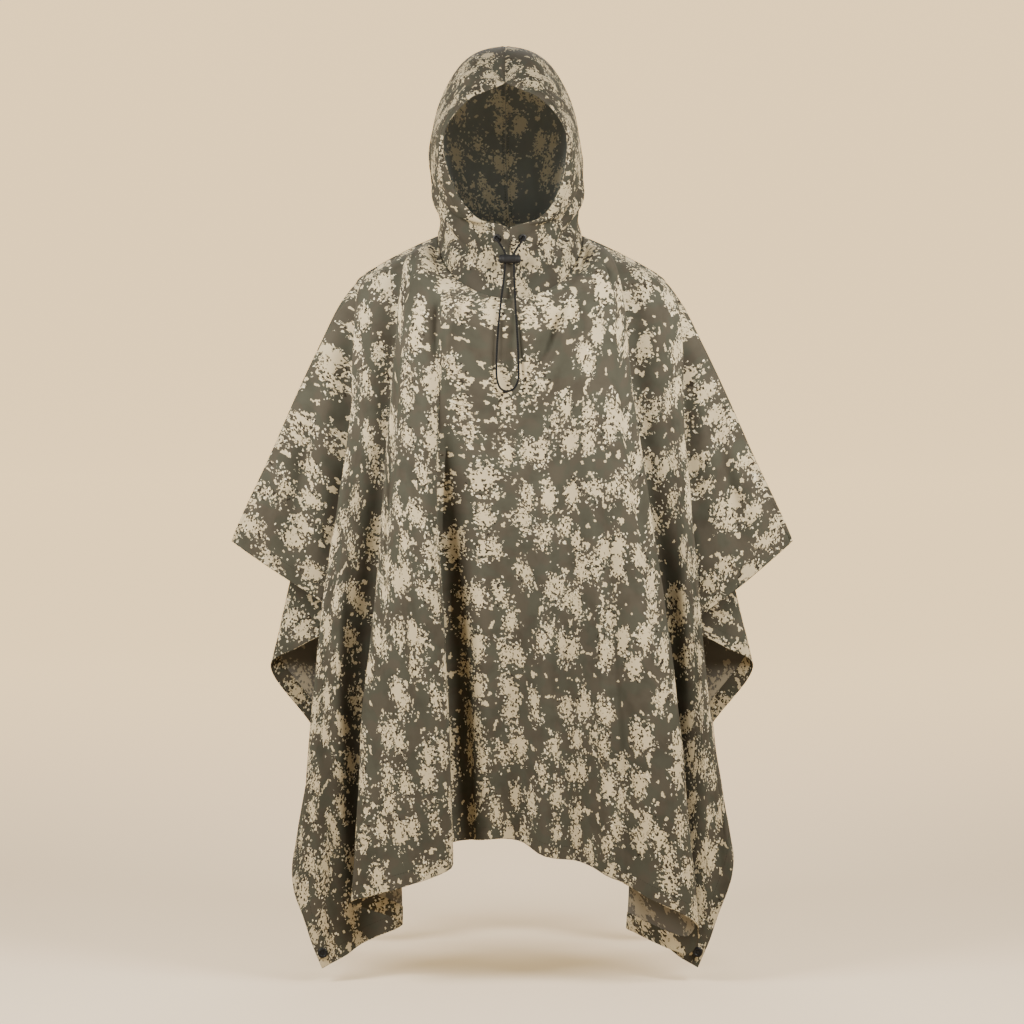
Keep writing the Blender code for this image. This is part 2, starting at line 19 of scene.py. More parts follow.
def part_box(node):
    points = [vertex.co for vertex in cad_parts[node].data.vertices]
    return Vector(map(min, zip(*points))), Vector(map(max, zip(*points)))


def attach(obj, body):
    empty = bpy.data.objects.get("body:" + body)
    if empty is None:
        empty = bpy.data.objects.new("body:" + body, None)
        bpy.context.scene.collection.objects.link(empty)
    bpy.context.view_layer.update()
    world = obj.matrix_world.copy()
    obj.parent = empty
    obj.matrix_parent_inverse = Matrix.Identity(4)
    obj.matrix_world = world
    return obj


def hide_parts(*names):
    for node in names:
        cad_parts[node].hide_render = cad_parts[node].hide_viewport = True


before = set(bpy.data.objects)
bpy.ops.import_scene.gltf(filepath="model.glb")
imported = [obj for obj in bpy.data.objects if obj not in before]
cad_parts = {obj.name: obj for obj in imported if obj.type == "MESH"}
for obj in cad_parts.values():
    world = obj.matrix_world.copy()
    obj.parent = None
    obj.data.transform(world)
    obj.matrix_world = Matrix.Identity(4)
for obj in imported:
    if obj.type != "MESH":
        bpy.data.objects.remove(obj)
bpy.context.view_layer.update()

bl_info = {
    "name": "Rain Poncho",
    "version": (1, 0, 0),
    "blender": (4, 5, 0),
    "location": "3D View > Sidebar > Poncho",
    "description": "Builds the cloth, seams and fittings of a hooded rain poncho",
    "category": "Object",
}

MM = 0.001
BODY = "root"
CUT_MAP = "cut"
FACES = ((-1, "front"), (1, "back"))
SIDES = ((-1, "left"), (1, "right"))

# Flat cut of each panel: half its width, its length, and how deep the neck is cut, front and back
HALF_WIDTH = 790.0
LENGTH = 1050.0
NECK_CUT = {-1: 120.0, 1: 95.0}

# Neckline and shoulder line of the filled-out poncho
SEAM_GAP = 0.06
NECK_HALF_WIDTH = 126.0
NECK_FRONT = Vector((0, -165, -98))
NECK_SIDE_Z = 3.0
NECK_BACK = Vector((0, 110, 10))
ShoulderPoint = namedtuple("ShoulderPoint", "cut out z")
SHOULDER = [ShoulderPoint(*row) for row in (
    (126, 126, 3),
    (192, 185, -24),
    (272, 253, -65),
    (326, 289, -106),
    (408, 326, -179),
    (520, 373, -280),
    (644, 423, -394),
    (747, 468, -488),
    (HALF_WIDTH, 487, -528),
)]
REACH = {-1: 1.0, 1: 1.015}

# A fold line: its start on the neckline or shoulder line, its place across and its distance from
# the shoulder plane at a quarter and at six tenths of its drop, its end, and that end on the cut
Fold = namedtuple("Fold", "start out_high deep_high out_low deep_low out deep z cut_out cut_down")
CENTRE_FRONT = Fold(0, 0, 184, 0, 196, 2, 200, -1024, 0, 1050)
FRONT_LEFT = [Fold(*row) for row in (
    (26, 52, 184, 58, 196, 62, 203, -1026, 85, 1050),  # centre panel
    (50, 104, 183, 104, 196, 106, 194, -1034, 170, 1050),  # valley 3
    (60, 121, 193, 117, 216, 103, 237, -1067, 240, 1050),  # ridge 3
    (84, 152, 190, 165, 228, 170, 252, -1093, 330, 1050),  # band
    (108, 184, 178, 206, 222, 232, 250, -1112, 405, 1050),  # band edge
    (160, 208, 170, 236, 205, 271, 225, -1129, 465, 1050),  # ridge 2
    (172, 198, 146, 200, 172, 188, 190, -1170, 580, 1050),  # inner 2
    (190, 226, 136, 258, 156, 256, 170, -1211, 680, 1050),  # between
    (220, 256, 128, 303, 160, 324, 188, -1250, 790, 1050),  # corner
    (240, 268, 121, 318, 156, 353, 176, -1173, 790, 955),  # side edge
    (258, 277, 112, 329, 150, 378, 160, -1101, 790, 860),  # ridge 1
    (267, 270, 82, 316, 112, 364, 116, -1020, 790, 760),  # behind 1
    (277, 262, 62, 292, 76, 306, 44, -880, 790, 520),  # hidden 1
    (289, 264, 58, 276, 66, 287, 60, -664, 790, 225),  # inner 1
    (345, 303, 60, 315, 66, 324, 60, -632, 790, 185),  # wing 1
    (445, 350, 50, 366, 55, 383, 46, -594, 790, 120),  # wing 2
    (600, 411, 36, 425, 38, 440, 26, -558, 790, 55),  # wing 3
    (HALF_WIDTH, 487, 0, 487, 0, 487, 0, -528, 790, 0),  # wing tip
)]
FRONT_RIGHT = [Fold(*row) for row in (
    (30, 50, 188, 60, 207, 69, 222, -1051, 95, 1050),  # crease 6
    (54, 88, 182, 104, 198, 118, 208, -1060, 170, 1050),  # valley 6
    (78, 124, 192, 151, 219, 174, 241, -1083, 250, 1050),  # crease 5
    (106, 166, 186, 210, 226, 245, 248, -1121, 340, 1050),  # band
    (150, 214, 164, 275, 203, 322, 222, -1172, 440, 1050),  # ridge 4
    (160, 207, 146, 264, 180, 309, 198, -1222, 500, 1050),  # behind 4
    (172, 201, 138, 222, 170, 201, 190, -1180, 610, 1050),  # inner 4
    (190, 230, 130, 272, 156, 264, 168, -1214, 690, 1050),  # between
    (226, 270, 122, 318, 158, 324, 184, -1249, 790, 1050),  # corner
    (264, 288, 118, 328, 154, 357, 174, -1166, 790, 950),  # side edge
    (300, 302, 110, 334, 146, 387, 160, -1077, 790, 855),  # ridge 1
    (309, 294, 80, 322, 110, 370, 114, -1000, 790, 750),  # behind 1
    (319, 288, 64, 306, 74, 318, 44, -880, 790, 520),  # hidden 1
    (331, 290, 58, 304, 66, 325, 60, -664, 790, 230),  # inner 1
    (380, 322, 58, 338, 64, 358, 58, -634, 790, 185),  # wing 1
    (465, 362, 48, 382, 53, 402, 45, -602, 790, 120),  # wing 2
    (605, 417, 35, 436, 37, 452, 26, -562, 790, 55),  # wing 3
    (HALF_WIDTH, 487, 0, 487, 0, 487, 0, -524, 790, 0),  # wing tip
)]
CENTRE_BACK = Fold(0, 0, 158, 0, 184, 0, 192, -1072, 0, 1050)
BACK_HALF = [Fold(*row) for row in (
    (46, 88, 166, 92, 206, 88, 228, -1088, 130, 1050),  # ridge 3
    (84, 138, 150, 146, 184, 140, 200, -1094, 220, 1050),  # valley 3
    (112, 170, 152, 186, 208, 194, 240, -1108, 320, 1050),  # band
    (160, 204, 142, 226, 196, 250, 226, -1122, 430, 1050),  # ridge 2
    (172, 196, 122, 200, 168, 186, 184, -1150, 550, 1050),  # inner 2
    (190, 222, 116, 250, 160, 246, 172, -1184, 670, 1050),  # between
    (214, 248, 114, 294, 160, 312, 180, -1218, 790, 1050),  # corner
    (228, 258, 110, 304, 150, 330, 158, -1110, 790, 880),  # edge 3
    (240, 262, 104, 290, 140, 296, 140, -985, 790, 710),  # edge 2
    (251, 272, 96, 326, 122, 350, 112, -872, 790, 520),  # edge 1
    (263, 288, 80, 356, 92, 423, 76, -754, 790, 380),  # ridge 1
    (273, 278, 62, 326, 70, 372, 62, -721, 790, 310),  # front 1
    (285, 266, 52, 283, 52, 291, 44, -667, 790, 230),  # inner 1
    (345, 303, 56, 318, 52, 330, 40, -636, 790, 180),  # wing 1
    (445, 350, 48, 367, 46, 384, 34, -596, 790, 120),  # wing 2
    (600, 411, 34, 425, 34, 440, 22, -559, 790, 55),  # wing 3
    (HALF_WIDTH, 487, 0, 487, 0, 487, 0, -528, 790, 0),  # wing tip
)]
PANELS = {
    -1: ({-1: FRONT_LEFT, 1: FRONT_RIGHT}, CENTRE_FRONT),
    1: ({-1: BACK_HALF, 1: BACK_HALF}, CENTRE_BACK),
}

# How a fold line leaves its start, as shares of the way to its upper station
ROLL_OUT = 0.55
ROLL_DROP = 0.12
UPPER_STATION = 0.25
LOWER_STATION = 0.60
LINE_POINTS = 161

# How finely a panel is drawn, and how far down its top edge is true to the neckline
COLUMN_WIDTH = 10.5
LEAST_COLUMNS = 5
PANEL_ROWS = 140
EDGE_SHARES = (0.0, 0.0015, 0.0035)
MIDDLE_SHARES = (0.008, 0.992)
TOP_FADE = 0.15

# The seam's ridge below the top edge and the groove below that: height, and places with widths
NECK_RIDGE = 2.0
RIDGE_PLACE, RIDGE_WIDTH = 5.0, 4.0
GROOVE_PLACE, GROOVE_WIDTH = 14.0, 5.0

# Easing: how often, where the skin counts as folding over, how far round and how much it is lowered
EASE_ROUNDS = 10
LEAST_TURN = 0.42
EASE_COLUMNS = 3
EASE_ROWS = 5
EASE_SHARE = 0.22

# Creases on the flat cut of a panel: where one starts and ends, how far its middle bows aside, its
# half width, and its height: a ridge is above 0 and a trough is below. It widens on its way.
WIDTH_AT_START = 0.6
WIDENING = 0.9
CREASE_TAPER = 0.8
Crease = namedtuple("Crease", "from_out from_down to_out to_down bow width height")
FRONT_CREASES = [Crease(*row) for row in (
    (-174, 20, -800, 1420, 10, 36, -28.0),
    (-112, 10, -256, 600, 8, 18, 8.0),
    (-150, 0, -312, 600, 8, 17, -17.0),
    (-98, 60, -128, 1480, -8, 30, -37.0),
    (-84, 300, -150, 1500, -10, 12, 6.4),
    (-110, 130, -330, 1300, -12, 34, 12.8),
    (-300, -20, -840, 250, -14, 26, -16.0),
    (184, 20, 870, 1420, -10, 36, -26.0),
    (118, 20, 290, 600, -8, 18, 8.0),
    (164, 10, 362, 600, -8, 17, -16.0),
    (330, -20, 840, 250, 14, 26, -16.0),
    (128, 330, 290, 1300, -10, 18, 11.2),
    (146, 330, 330, 1400, -10, 24, -17.0),
    (190, 300, 420, 1300, -6, 30, 9.6),
    (22, 300, 24, 1400, 8, 26, -12.0),
    (66, 420, 80, 1300, -6, 20, 9.6),
    (-20, 200, -40, 900, 8, 20, 6.4),
    (-60, 420, -52, 1100, -6, 18, 6.4),
    (-330, 300, -420, 1300, 8, 20, 8.0),
    (-240, 500, -300, 1300, -8, 20, -11.2),
    (-400, 560, -560, 1200, 10, 24, 9.6),
    (-470, 420, -800, 1200, -16, 26, 8.0),
    (-560, 420, -860, 1060, 12, 24, -14.4),
    (470, 440, 780, 1200, 16, 26, 8.0),
    (560, 440, 860, 1080, -12, 24, -14.4),
    (-420, 60, -660, 200, 8, 22, 8.0),
    (430, 70, 660, 190, -8, 20, 8.0),
    (-480, 30, -760, 110, 10, 18, -9.6),
    (500, 30, 760, 100, -10, 18, -9.6),
    (-560, 120, -760, 190, 8, 14, -6.4),
    (560, 130, 770, 200, -8, 14, 6.4),
    (78, 112, 16, 290, -7, 9, -11.2),
    (92, 100, 44, 300, -7, 12, 8.0),
    (-60, 118, -34, 280, 6, 10, -8.0),
    (-104, 84, -116, 250, -6, 11, -9.6),
    (-84, 108, -84, 280, 4, 12, 6.4),
    (102, 96, 118, 250, 5, 11, -8.0),
    (124, 66, 176, 230, -5, 11, 8.0),
    (-128, 60, -190, 240, 5, 12, 8.0),
    (-140, 40, -240, 230, 8, 10, -8.0),
    (146, 40, 240, 220, -8, 10, -7.2),
    (4, 126, 12, 420, 4, 13, -6.4),
)]
BACK_CREASES = [Crease(*row) for row in (
    (-24, 100, -50, 900, 8, 26, -9.0),
    (30, 260, 60, 1400, -6, 24, 6.0),
    (-82, 300, -120, 1500, 10, 26, -20.0),
    (-128, 240, -190, 1300, 10, 30, 7.0),
    (76, 340, 118, 1500, -10, 24, -17.0),
    (130, 300, 200, 1300, -8, 28, 6.0),
    (-182, 20, -860, 1420, 14, 42, -24.0),
    (180, 20, 860, 1420, -14, 42, -22.0),
    (-290, -20, -840, 250, -14, 24, -10.0),
    (290, -20, 840, 250, 14, 24, -10.0),
    (-262, 420, -320, 1300, -6, 20, -7.0),
    (250, 380, 320, 1300, 8, 20, -6.0),
    (-330, 300, -450, 1200, 8, 22, 5.0),
    (342, 420, 440, 1300, -8, 22, 5.0),
    (-480, 300, -760, 900, 14, 26, 6.0),
    (500, 320, 780, 960, -14, 26, 5.0),
    (-540, 260, -800, 760, 12, 22, -7.0),
    (560, 300, 800, 800, -12, 22, -8.0),
    (-430, 60, -670, 180, 8, 20, 5.0),
    (440, 60, 660, 190, -8, 20, -5.0),
    (-500, 30, -740, 100, 8, 16, -5.0),
    (520, 40, 760, 110, -8, 16, 5.0),
    (-60, 92, -100, 280, 6, 10, -5.0),
    (64, 90, 110, 290, -6, 11, 5.0),
    (100, 70, 170, 250, -6, 11, -5.0),
    (-104, 66, -170, 240, 6, 11, 5.0),
    (0, 94, 6, 320, 3, 12, 4.0),
)]
CREASES = {-1: FRONT_CREASES, 1: BACK_CREASES}

# Small waves of the cloth: how many, their lengths, their height, and where they fade in
RIPPLES = 16
RIPPLE_LENGTH = (70.0, 210.0)
RIPPLE_HEIGHT = 0.55
RIPPLE_LEAN = 0.30
RIPPLE_BEAT = 1.7
RIPPLE_SEED = 7
RIPPLE_FADE = 60.0
SIDE_SHARE = 0.3
CORNER_CALM = 45.0
CORNER_REACH = 90.0

# Hems: the cloth is turned in along the border and sewn down
HEM_WIDTH = 24.0
HEM_ROWS = (1.5, 5.0, 9.0, 13.0, 17.0, 20.0, 22.0, HEM_WIDTH)
HEM_STITCH = 21.0
HEM_EDGE_STITCH = 3.0
HEM_DROP = 0.75
HEM_THICKNESS = 0.35
HEM_ROUND = (0.8, 0.4)
HEM_PRINT_SHIFT = (0.31, 0.17)

# A turned edge: how far it clears the outer face, and the share of its drop where it turns under
TURN_CLEARANCE = 0.15
TURN_DROP = 0.6

# Hood ribs from the neckline up to the peak of the brim: the face edge, the widest place at the
# side and the place on the centre seam
Rib = namedtuple("Rib", "edge_out edge_y edge_z side_out side_y side_z seam_y seam_z")
HOOD_RIBS = [Rib(*row) for row in (
    (0, NECK_FRONT.y, NECK_FRONT.z, NECK_HALF_WIDTH, 0, NECK_SIDE_Z, NECK_BACK.y, NECK_BACK.z),
    (0, -151, -45, 119, -4, 32, 108, 60),
    (0, -146, 19, 125, -6, 66, 124, 116),
    (50, -143, 37, 129, -6, 92, 136, 152),
    (75, -142, 62, 131, -6, 118, 143, 184),
    (96, -142, 104, 130, -6, 150, 144, 220),
    (106, -145, 168, 122, -6, 205, 128, 272),
    (98, -148, 200, 107, -8, 245, 98, 306),
    (60, -151, 243, 80, -30, 288, 36, 330),
    (28, -152, 258, 44, -92, 304, -66, 322),
    (0, -150, 269, 0, -150, 269, -150, 269),
)]
PEAK = len(HOOD_RIBS) - 1
CHIN_RIB = 2
HOOD_LEAN = -8.0
LEAN_HEIGHT = 150.0
HOOD_ROWS = 112
HOOD_COLUMNS = 100
HOOD_TUCK = 1.2
TUCK_REACH = 0.3
TUCK_DROP = 1.5
FACE_STEPS = 110
OPENING_CENTRE = Vector((0, -146, 140))

# Flat cut of the hood: points it is laid out from, how long, how strongly, and where it lies
LAY_ROWS = 31
LAY_COLUMNS = 25
LAY_ROUNDS = 700
LAY_PULL = 1.4
LAY_PLACE = (1.5, -2.0)

# Casing of the face edge: how wide it is, how far it stands in from the hood, and its stitch line
CASING_WIDTH = 19.0
CASING_ROWS = (1.2, 4.0, 8.0, 12.0, 15.5, 17.5, CASING_WIDTH)
CASING_INSET = 0.8
CASING_STITCH = 18.0
CASING_PUFF = 0.9
CASING_GROOVE = 0.5
CASING_GROOVE_WIDTH = 3.0
CASING_THICKNESS = 0.4
CASING_ROUND = (0.9, 0.5)
CASING_AWAY = 4.0
CASING_PRINT_PLACE = 1.4
PUFF_TAPER = 0.8

# Centre seam of the hood: its ridge on each side, the groove between them, and where they begin
SEAM_RIDGE = 0.9
SEAM_RIDGE_PLACE, SEAM_RIDGE_WIDTH = 5.0, 4.0
SEAM_GROOVE, SEAM_GROOVE_WIDTH = 1.2, 2.2
BACK_FADE = 0.3

# Creases of the hood: their ends, their half width and their height
HoodCrease = namedtuple("HoodCrease", "start end width height")
HOOD_CREASES = [HoodCrease(*row) for row in (
    ((-122, -56, 24), (-30, -152, -66), 11, 9.3),
    ((-124, -34, 46), (-48, -146, -42), 8, -10.2),
    ((-128, -14, 86), (-78, -134, -4), 11, 7.6),
    ((-128, -10, 112), (-96, -132, 30), 8, -6.8),
    ((-66, -146, -8), (-2, -158, -62), 8, -7.6),
    ((-98, -110, -20), (-20, -156, -84), 8, -7.6),
    ((120, -60, 22), (38, -152, -62), 11, 9.3),
    ((124, -34, 52), (58, -144, -34), 8, -9.3),
    ((126, -12, 98), (84, -132, 8), 11, 7.6),
    ((128, -10, 124), (98, -130, 38), 8, -6.8),
    ((68, -146, 0), (10, -158, -54), 8, -6.8),
    ((100, -108, -16), (26, -156, -78), 8, -7.6),
    ((-40, -150, 264), (-90, -60, 284), 11, 4.4),
    ((36, -150, 266), (86, -60, 280), 11, 4.1),
    ((-62, -140, 262), (-104, -40, 262), 8, -4.1),
    ((58, -140, 262), (102, -40, 258), 8, -3.7),
    ((-84, -148, 232), (-112, -60, 236), 11, -3.7),
    ((82, -148, 232), (108, -60, 232), 11, -3.7),
    ((-128, -20, 160), (-112, 70, 70), 14, 3.0),
    ((128, -20, 150), (108, 74, 60), 14, 3.0),
    ((-126, -30, 200), (-126, -10, 90), 12, 2.0),
    ((124, -30, 200), (126, -10, 90), 12, 2.0),
    ((-60, 112, 60), (-20, 126, 180), 14, -5.1),
    ((58, 112, 50), (24, 128, 170), 14, 5.1),
    ((-110, 40, 20), (-50, 100, 40), 11, -6.0),
    ((108, 44, 18), (46, 104, 36), 11, -5.4),
)]

# Creases of the hood are measured round its centre. They fade by the casing, seam, chin and neck.
HOOD_CENTRE = np.array((0.0, -10.0, 60.0))
CREASE_STEPS = 40
HOOD_TAPER = 0.7
CASING_CALM = 0.6
SEAM_CALM = 6.0
BACK_CALM = 0.5
CHIN_HEIGHT = 30.0
NECK_CALM = 0.25

# Stitches: length, gap and thickness of the thread, and how far a topstitch lies from its seam
STITCH_LENGTH = 3.6
STITCH_GAP = 1.3
STITCH_SIDES = 5
STITCH_SHOULDER = 0.3
STITCH_SINK = 0.1
THREAD_RADIUS = 0.32
THREAD_CLEARANCE = 0.12
INNER_CLEARANCE = {"hem": 0.1, "casing": 0.4, "crown": 0.5}
TOPSTITCH = 5.0
CROWN_STITCH = 4.5

# Felled turnings of the hood's centre seam: distances from the seam, and how far they stand in
FELL_PLACES = (7.0, 4.5, 2.0, 0.4)
FELL_INSET = 0.3

# Fittings
EYELET_TURN = 0.132
EYELET_RIB = 1.725
EYELET_FLANGE_RADIUS = 6.2
EYELET_BORE_RADIUS = 2.8
EYELET_RISE = 1.4
EYELET_HOLE_RADIUS = 4.0
EYELET_FLANGE_SIDES = 14
EYELET_FLANGE_HEIGHT = 0.8
EYELET_NECK_SIDES = 8
EYELET_NECK_RADIUS = 0.55
EYELET_NECK_HEIGHT = -0.6
EYELET_NECK_STRETCH = 2.6
LOCK_LENGTH = 38.0
LOCK_RADIUS = 7.6
LOCK_BORE_RADIUS = 2.4
LOCK_BORE_SPACING = 14.8
LOCK_BORE_SIDES = 24
STUD_RADIUS = 8.8
STUD_RISE = 3.4

# Outlines as shares of radius and of half the lock's length, from its middle, or of the stud's rise
LOCK_OUTLINE = (
    (0.97, 0.3), (0.99, 0.53), (0.93, 0.56), (0.93, 0.60), (1, 0.64), (1, 0.76), (0.96, 0.85),
    (0.84, 0.93), (0.62, 0.985), (0.35, 1),
)
LOCK_WAIST = 0.95
STUD_OUTLINE = (
    (0.96, -0.5), (1, -0.35), (1, -0.15), (0.95, 0.1), (0.86, 0.32), (0.76, 0.45), (0.66, 0.48),
    (0.58, 0.4), (0.53, 0.2), (0.49, 0.08), (0.36, 0.03), (0.30, 0.1), (0.2, 0.2), (0.08, 0.24),
)

# Angles from which an edge is drawn sharp
CLOTH_EDGE = math.radians(58)
FITTING_EDGE = math.radians(40)
LOCK_EDGE = math.radians(35)

# Drawcord route from the left eyelet, through the lock, round the loop and back to the right one
CORD_RADIUS = 1.75
CORD_SIDES = 12
CORD_STEP = 2.2
CORD_TURNS = 6
CORD_PITCH = 1100.0
CORD_ROUTE = (
    (-22.2, -145.4, 6.0), (-23.4, -151.0, 5.8), (-22.4, -157.0, 4.0), (-18.5, -161.5, -2.6),
    (-12.5, -163.2, -11.5), (-8.6, -163.2, -20.0), (-7.9, -163.0, -30.0), (-8.3, -163.4, -40.0),
    (-10.0, -166.4, -58.0), (-13.0, -171.4, -84.0), (-16.5, -176.6, -112.0),
    (-19.5, -181.8, -142.0), (-21.8, -184.2, -175.0), (-23.0, -186.0, -208.0),
    (-22.0, -187.4, -234.0), (-16.0, -188.0, -249.5), (-5.5, -188.2, -254.5),
    (6.0, -188.3, -250.5), (13.6, -188.0, -236.0), (14.6, -186.8, -208.0), (13.4, -184.9, -175.0),
    (11.6, -182.4, -142.0), (9.6, -176.8, -112.0), (8.4, -171.4, -84.0), (7.2, -166.4, -58.0),
    (6.9, -163.4, -40.0), (6.9, -163.0, -30.0), (7.6, -163.2, -20.0), (12.0, -163.2, -11.5),
    (18.5, -161.5, -2.6), (22.9, -157.0, 4.0), (24.0, -151.0, 5.8), (22.8, -145.4, 6.0),
)

# Camera: what it looks at, how far off and how high it stands, and the width of its view there
CAMERA_TARGET = Vector((0.0035, 0, -0.4775))
CAMERA_DISTANCE = 8.0
CAMERA_RISE = math.radians(5)
VIEW_WIDTH = 1.792
SENSOR_WIDTH = 36.0
CLIP_END = 60

# Backdrop: its size, middle, height, the bend at its foot, and where its own light fades in
FLOOR_Z = -1.276
BACKDROP_SIZE = 44
BACKDROP_Y = -8
BACKDROP_RISE = 14
BACKDROP_BEND = 3.2
BEND_STEPS = 28
FAR_EDGE_Y = 5
FLOOR_GLOW = 0.38
GLOW_DEPTHS = (0.2, 4.5)

# Lights: name, place, size, and the setting with its power
LIGHTS = (
    ("left_light", (-1.35, -1.05, 0.40), 0.8, "left"),
    ("right_light", (1.35, -1.05, 0.45), 0.8, "right"),
    ("back_light", (0.0, 2.3, 1.7), 1.4, "back"),
)
LIGHT_AIM = Vector((0, 0, -0.3))
LIGHT_COLOUR = (1.0, 0.97, 0.92)
SKY_COLOUR = (1.0, 0.97, 0.93, 1)

# Print: shares of the fields that make up its blotches, and the levels at which each mark begins
BLOTCH_SHARE, ISLAND_SHARE, FINGER_SHARE, GRAIN_SHARE, BLOTCH_BASE = 0.5, 0.9, 0.62, 0.05, 0.570
STAR_FINGERS = 0.25
PALE_LEVEL = 0.565
RIM_LEVEL, RIM_CHANCE, RIM_CURL = 0.720, 0.80, 0.35
FRINGE_LEVEL, FRINGE_CHANCE, FRINGE_CURL = 0.390, 0.95, 0.2
LONE_LEVEL = 0.715
CURL_BAND = (0.455, 0.545)
SHADOW_BAND, SHADOW_SHARE = (0.42, 0.68), 0.35
MOULD_BAND = (0.44, 0.56)

# Faces of the cloth: material, roughness, specular level, shade of its print, the setting with the
# colour that veils it, and the strength of its weave
ClothFace = namedtuple("ClothFace", "name roughness specular shade veil relief")
OUTSIDE = ClothFace("camouflage_print", 0.88, 0.08, 1.0, None, 0.35)
REVERSE = ClothFace("coated_reverse", 0.7, 0.15, 0.45, "coating", 0.3)
# Painted shade: the hood's outside and the casing are the panels' own cloth, and their print is made
# darker (shade 0.72) to darken the hood, which faces the lights more than the panels do.
HOOD_OUTSIDE = ClothFace("camouflage_print_hood", 0.88, 0.08, 0.72, None, 0.35)
# The hood's inside and the crown seam strip take the print lighter (shade 1.15) under a pale, cool
# veil. This is partly the coated reverse and partly painted fill light, which lightens the shaded
# inside of the hood and cools the warm light bounced in it.
HOOD_INSIDE = ClothFace("camouflage_inside_hood", 0.9, 0.08, 1.15, "lining", 0.35)
WEAVE_DEPTH = 0.0006


# ---------------------------------------------------------------------------------------------
# Settings

def tint(name, description, colour):
    """A colour setting."""
    return bpy.props.FloatVectorProperty(
        name=name, description=description, subtype="COLOR", default=colour)


def power(name, description, watts):
    """A setting for the power of a light."""
    return bpy.props.FloatProperty(name=name, description=description, default=watts, unit="POWER")


class ClothSettings(bpy.types.PropertyGroup):
    """Sizes and colours of the cloth."""

    thickness: bpy.props.FloatProperty(
        name="Thickness", description="Thickness of one layer of cloth",
        default=0.0009, unit="LENGTH", precision=5)
    cell: bpy.props.FloatProperty(
        name="Print cell", description="Size of the smallest fleck of the print",
        default=0.0028, unit="LENGTH", precision=5)
    blotch: bpy.props.FloatVectorProperty(
        name="Blotches", description="Width and height of the print's blotches",
        size=2, default=(0.040, 0.068), unit="LENGTH")
    pale: tint("Pale", "Colour of the pale blotches", (0.315, 0.262, 0.164))
    ground: tint("Ground", "Colour of the ground of the print", (0.0370, 0.0362, 0.0262))
    earth: tint("Earth", "Warmer patches in the ground of the print", (0.0410, 0.0360, 0.0262))
    dark: tint("Dark", "Colour of the dark patches", (0.0190, 0.0155, 0.0105))
    fleck: tint("Flecks", "Colour of the palest flecks", (0.42, 0.37, 0.26))
    coating: tint(
        "Coating", "Colour that the coating lays over the print's reverse",
        (0.062, 0.058, 0.050))
    # The veil of the hood's inside is the coating over the print, made lighter and cooler as painted
    # fill light for the shade inside the hood.
    lining: tint(
        "Inside of the hood", "Colour that the coating lays over the hood's inside",
        (0.150, 0.165, 0.170))
    thread: tint("Thread", "Colour of the sewing thread", (0.020, 0.018, 0.013))


class FittingSettings(bpy.types.PropertyGroup):
    """Finish of the fittings and the drawcord."""

    metal: tint("Metal", "Colour of the eyelets and studs", (0.008, 0.008, 0.008))
    plastic: tint("Plastic", "Colour of the cord lock", (0.006, 0.006, 0.006))
    cord: tint("Cord", "Colour of the drawcord", (0.0045, 0.0045, 0.0045))
    segments: bpy.props.IntProperty(
        name="Segments", description="Sides of the turned fittings", default=36, min=12)


class StageSettings(bpy.types.PropertyGroup):
    """Floor and lights."""

    backdrop: tint("Backdrop", "Colour of the floor and the wall", (0.340, 0.290, 0.230))
    glow: tint("Glow", "Light that the far wall adds of its own", (1.62, 1.16, 0.60))
    left: power("Left light", "Power of the light on the left", 112)
    right: power("Right light", "Power of the light on the right", 112)
    back: power("Back light", "Power of the light behind", 95)
    ambient: bpy.props.FloatProperty(
        name="Ambient", description="Strength of the light from all round", default=0.13)


# ---------------------------------------------------------------------------------------------
# Materials

class Value:
    """A socket of a material's node tree, used in arithmetic."""

    def __init__(self, finish, socket):
        self.finish = finish
        self.socket = socket

    def math(self, operation, *values):
        return self.finish.node("ShaderNodeMath", {"operation": operation}, dict(enumerate(values)))

    def __add__(self, other):
        return self.math("ADD", self, other)

    def __radd__(self, other):
        return self.math("ADD", other, self)

    def __sub__(self, other):
        return self.math("SUBTRACT", self, other)

    def __rsub__(self, other):
        return self.math("SUBTRACT", other, self)

    def __mul__(self, other):
        return self.math("MULTIPLY", self, other)

    def __rmul__(self, other):
        return self.math("MULTIPLY", other, self)

    def __gt__(self, other):
        return self.math("GREATER_THAN", self, other)

    def __lt__(self, other):
        return self.math("LESS_THAN", self, other)


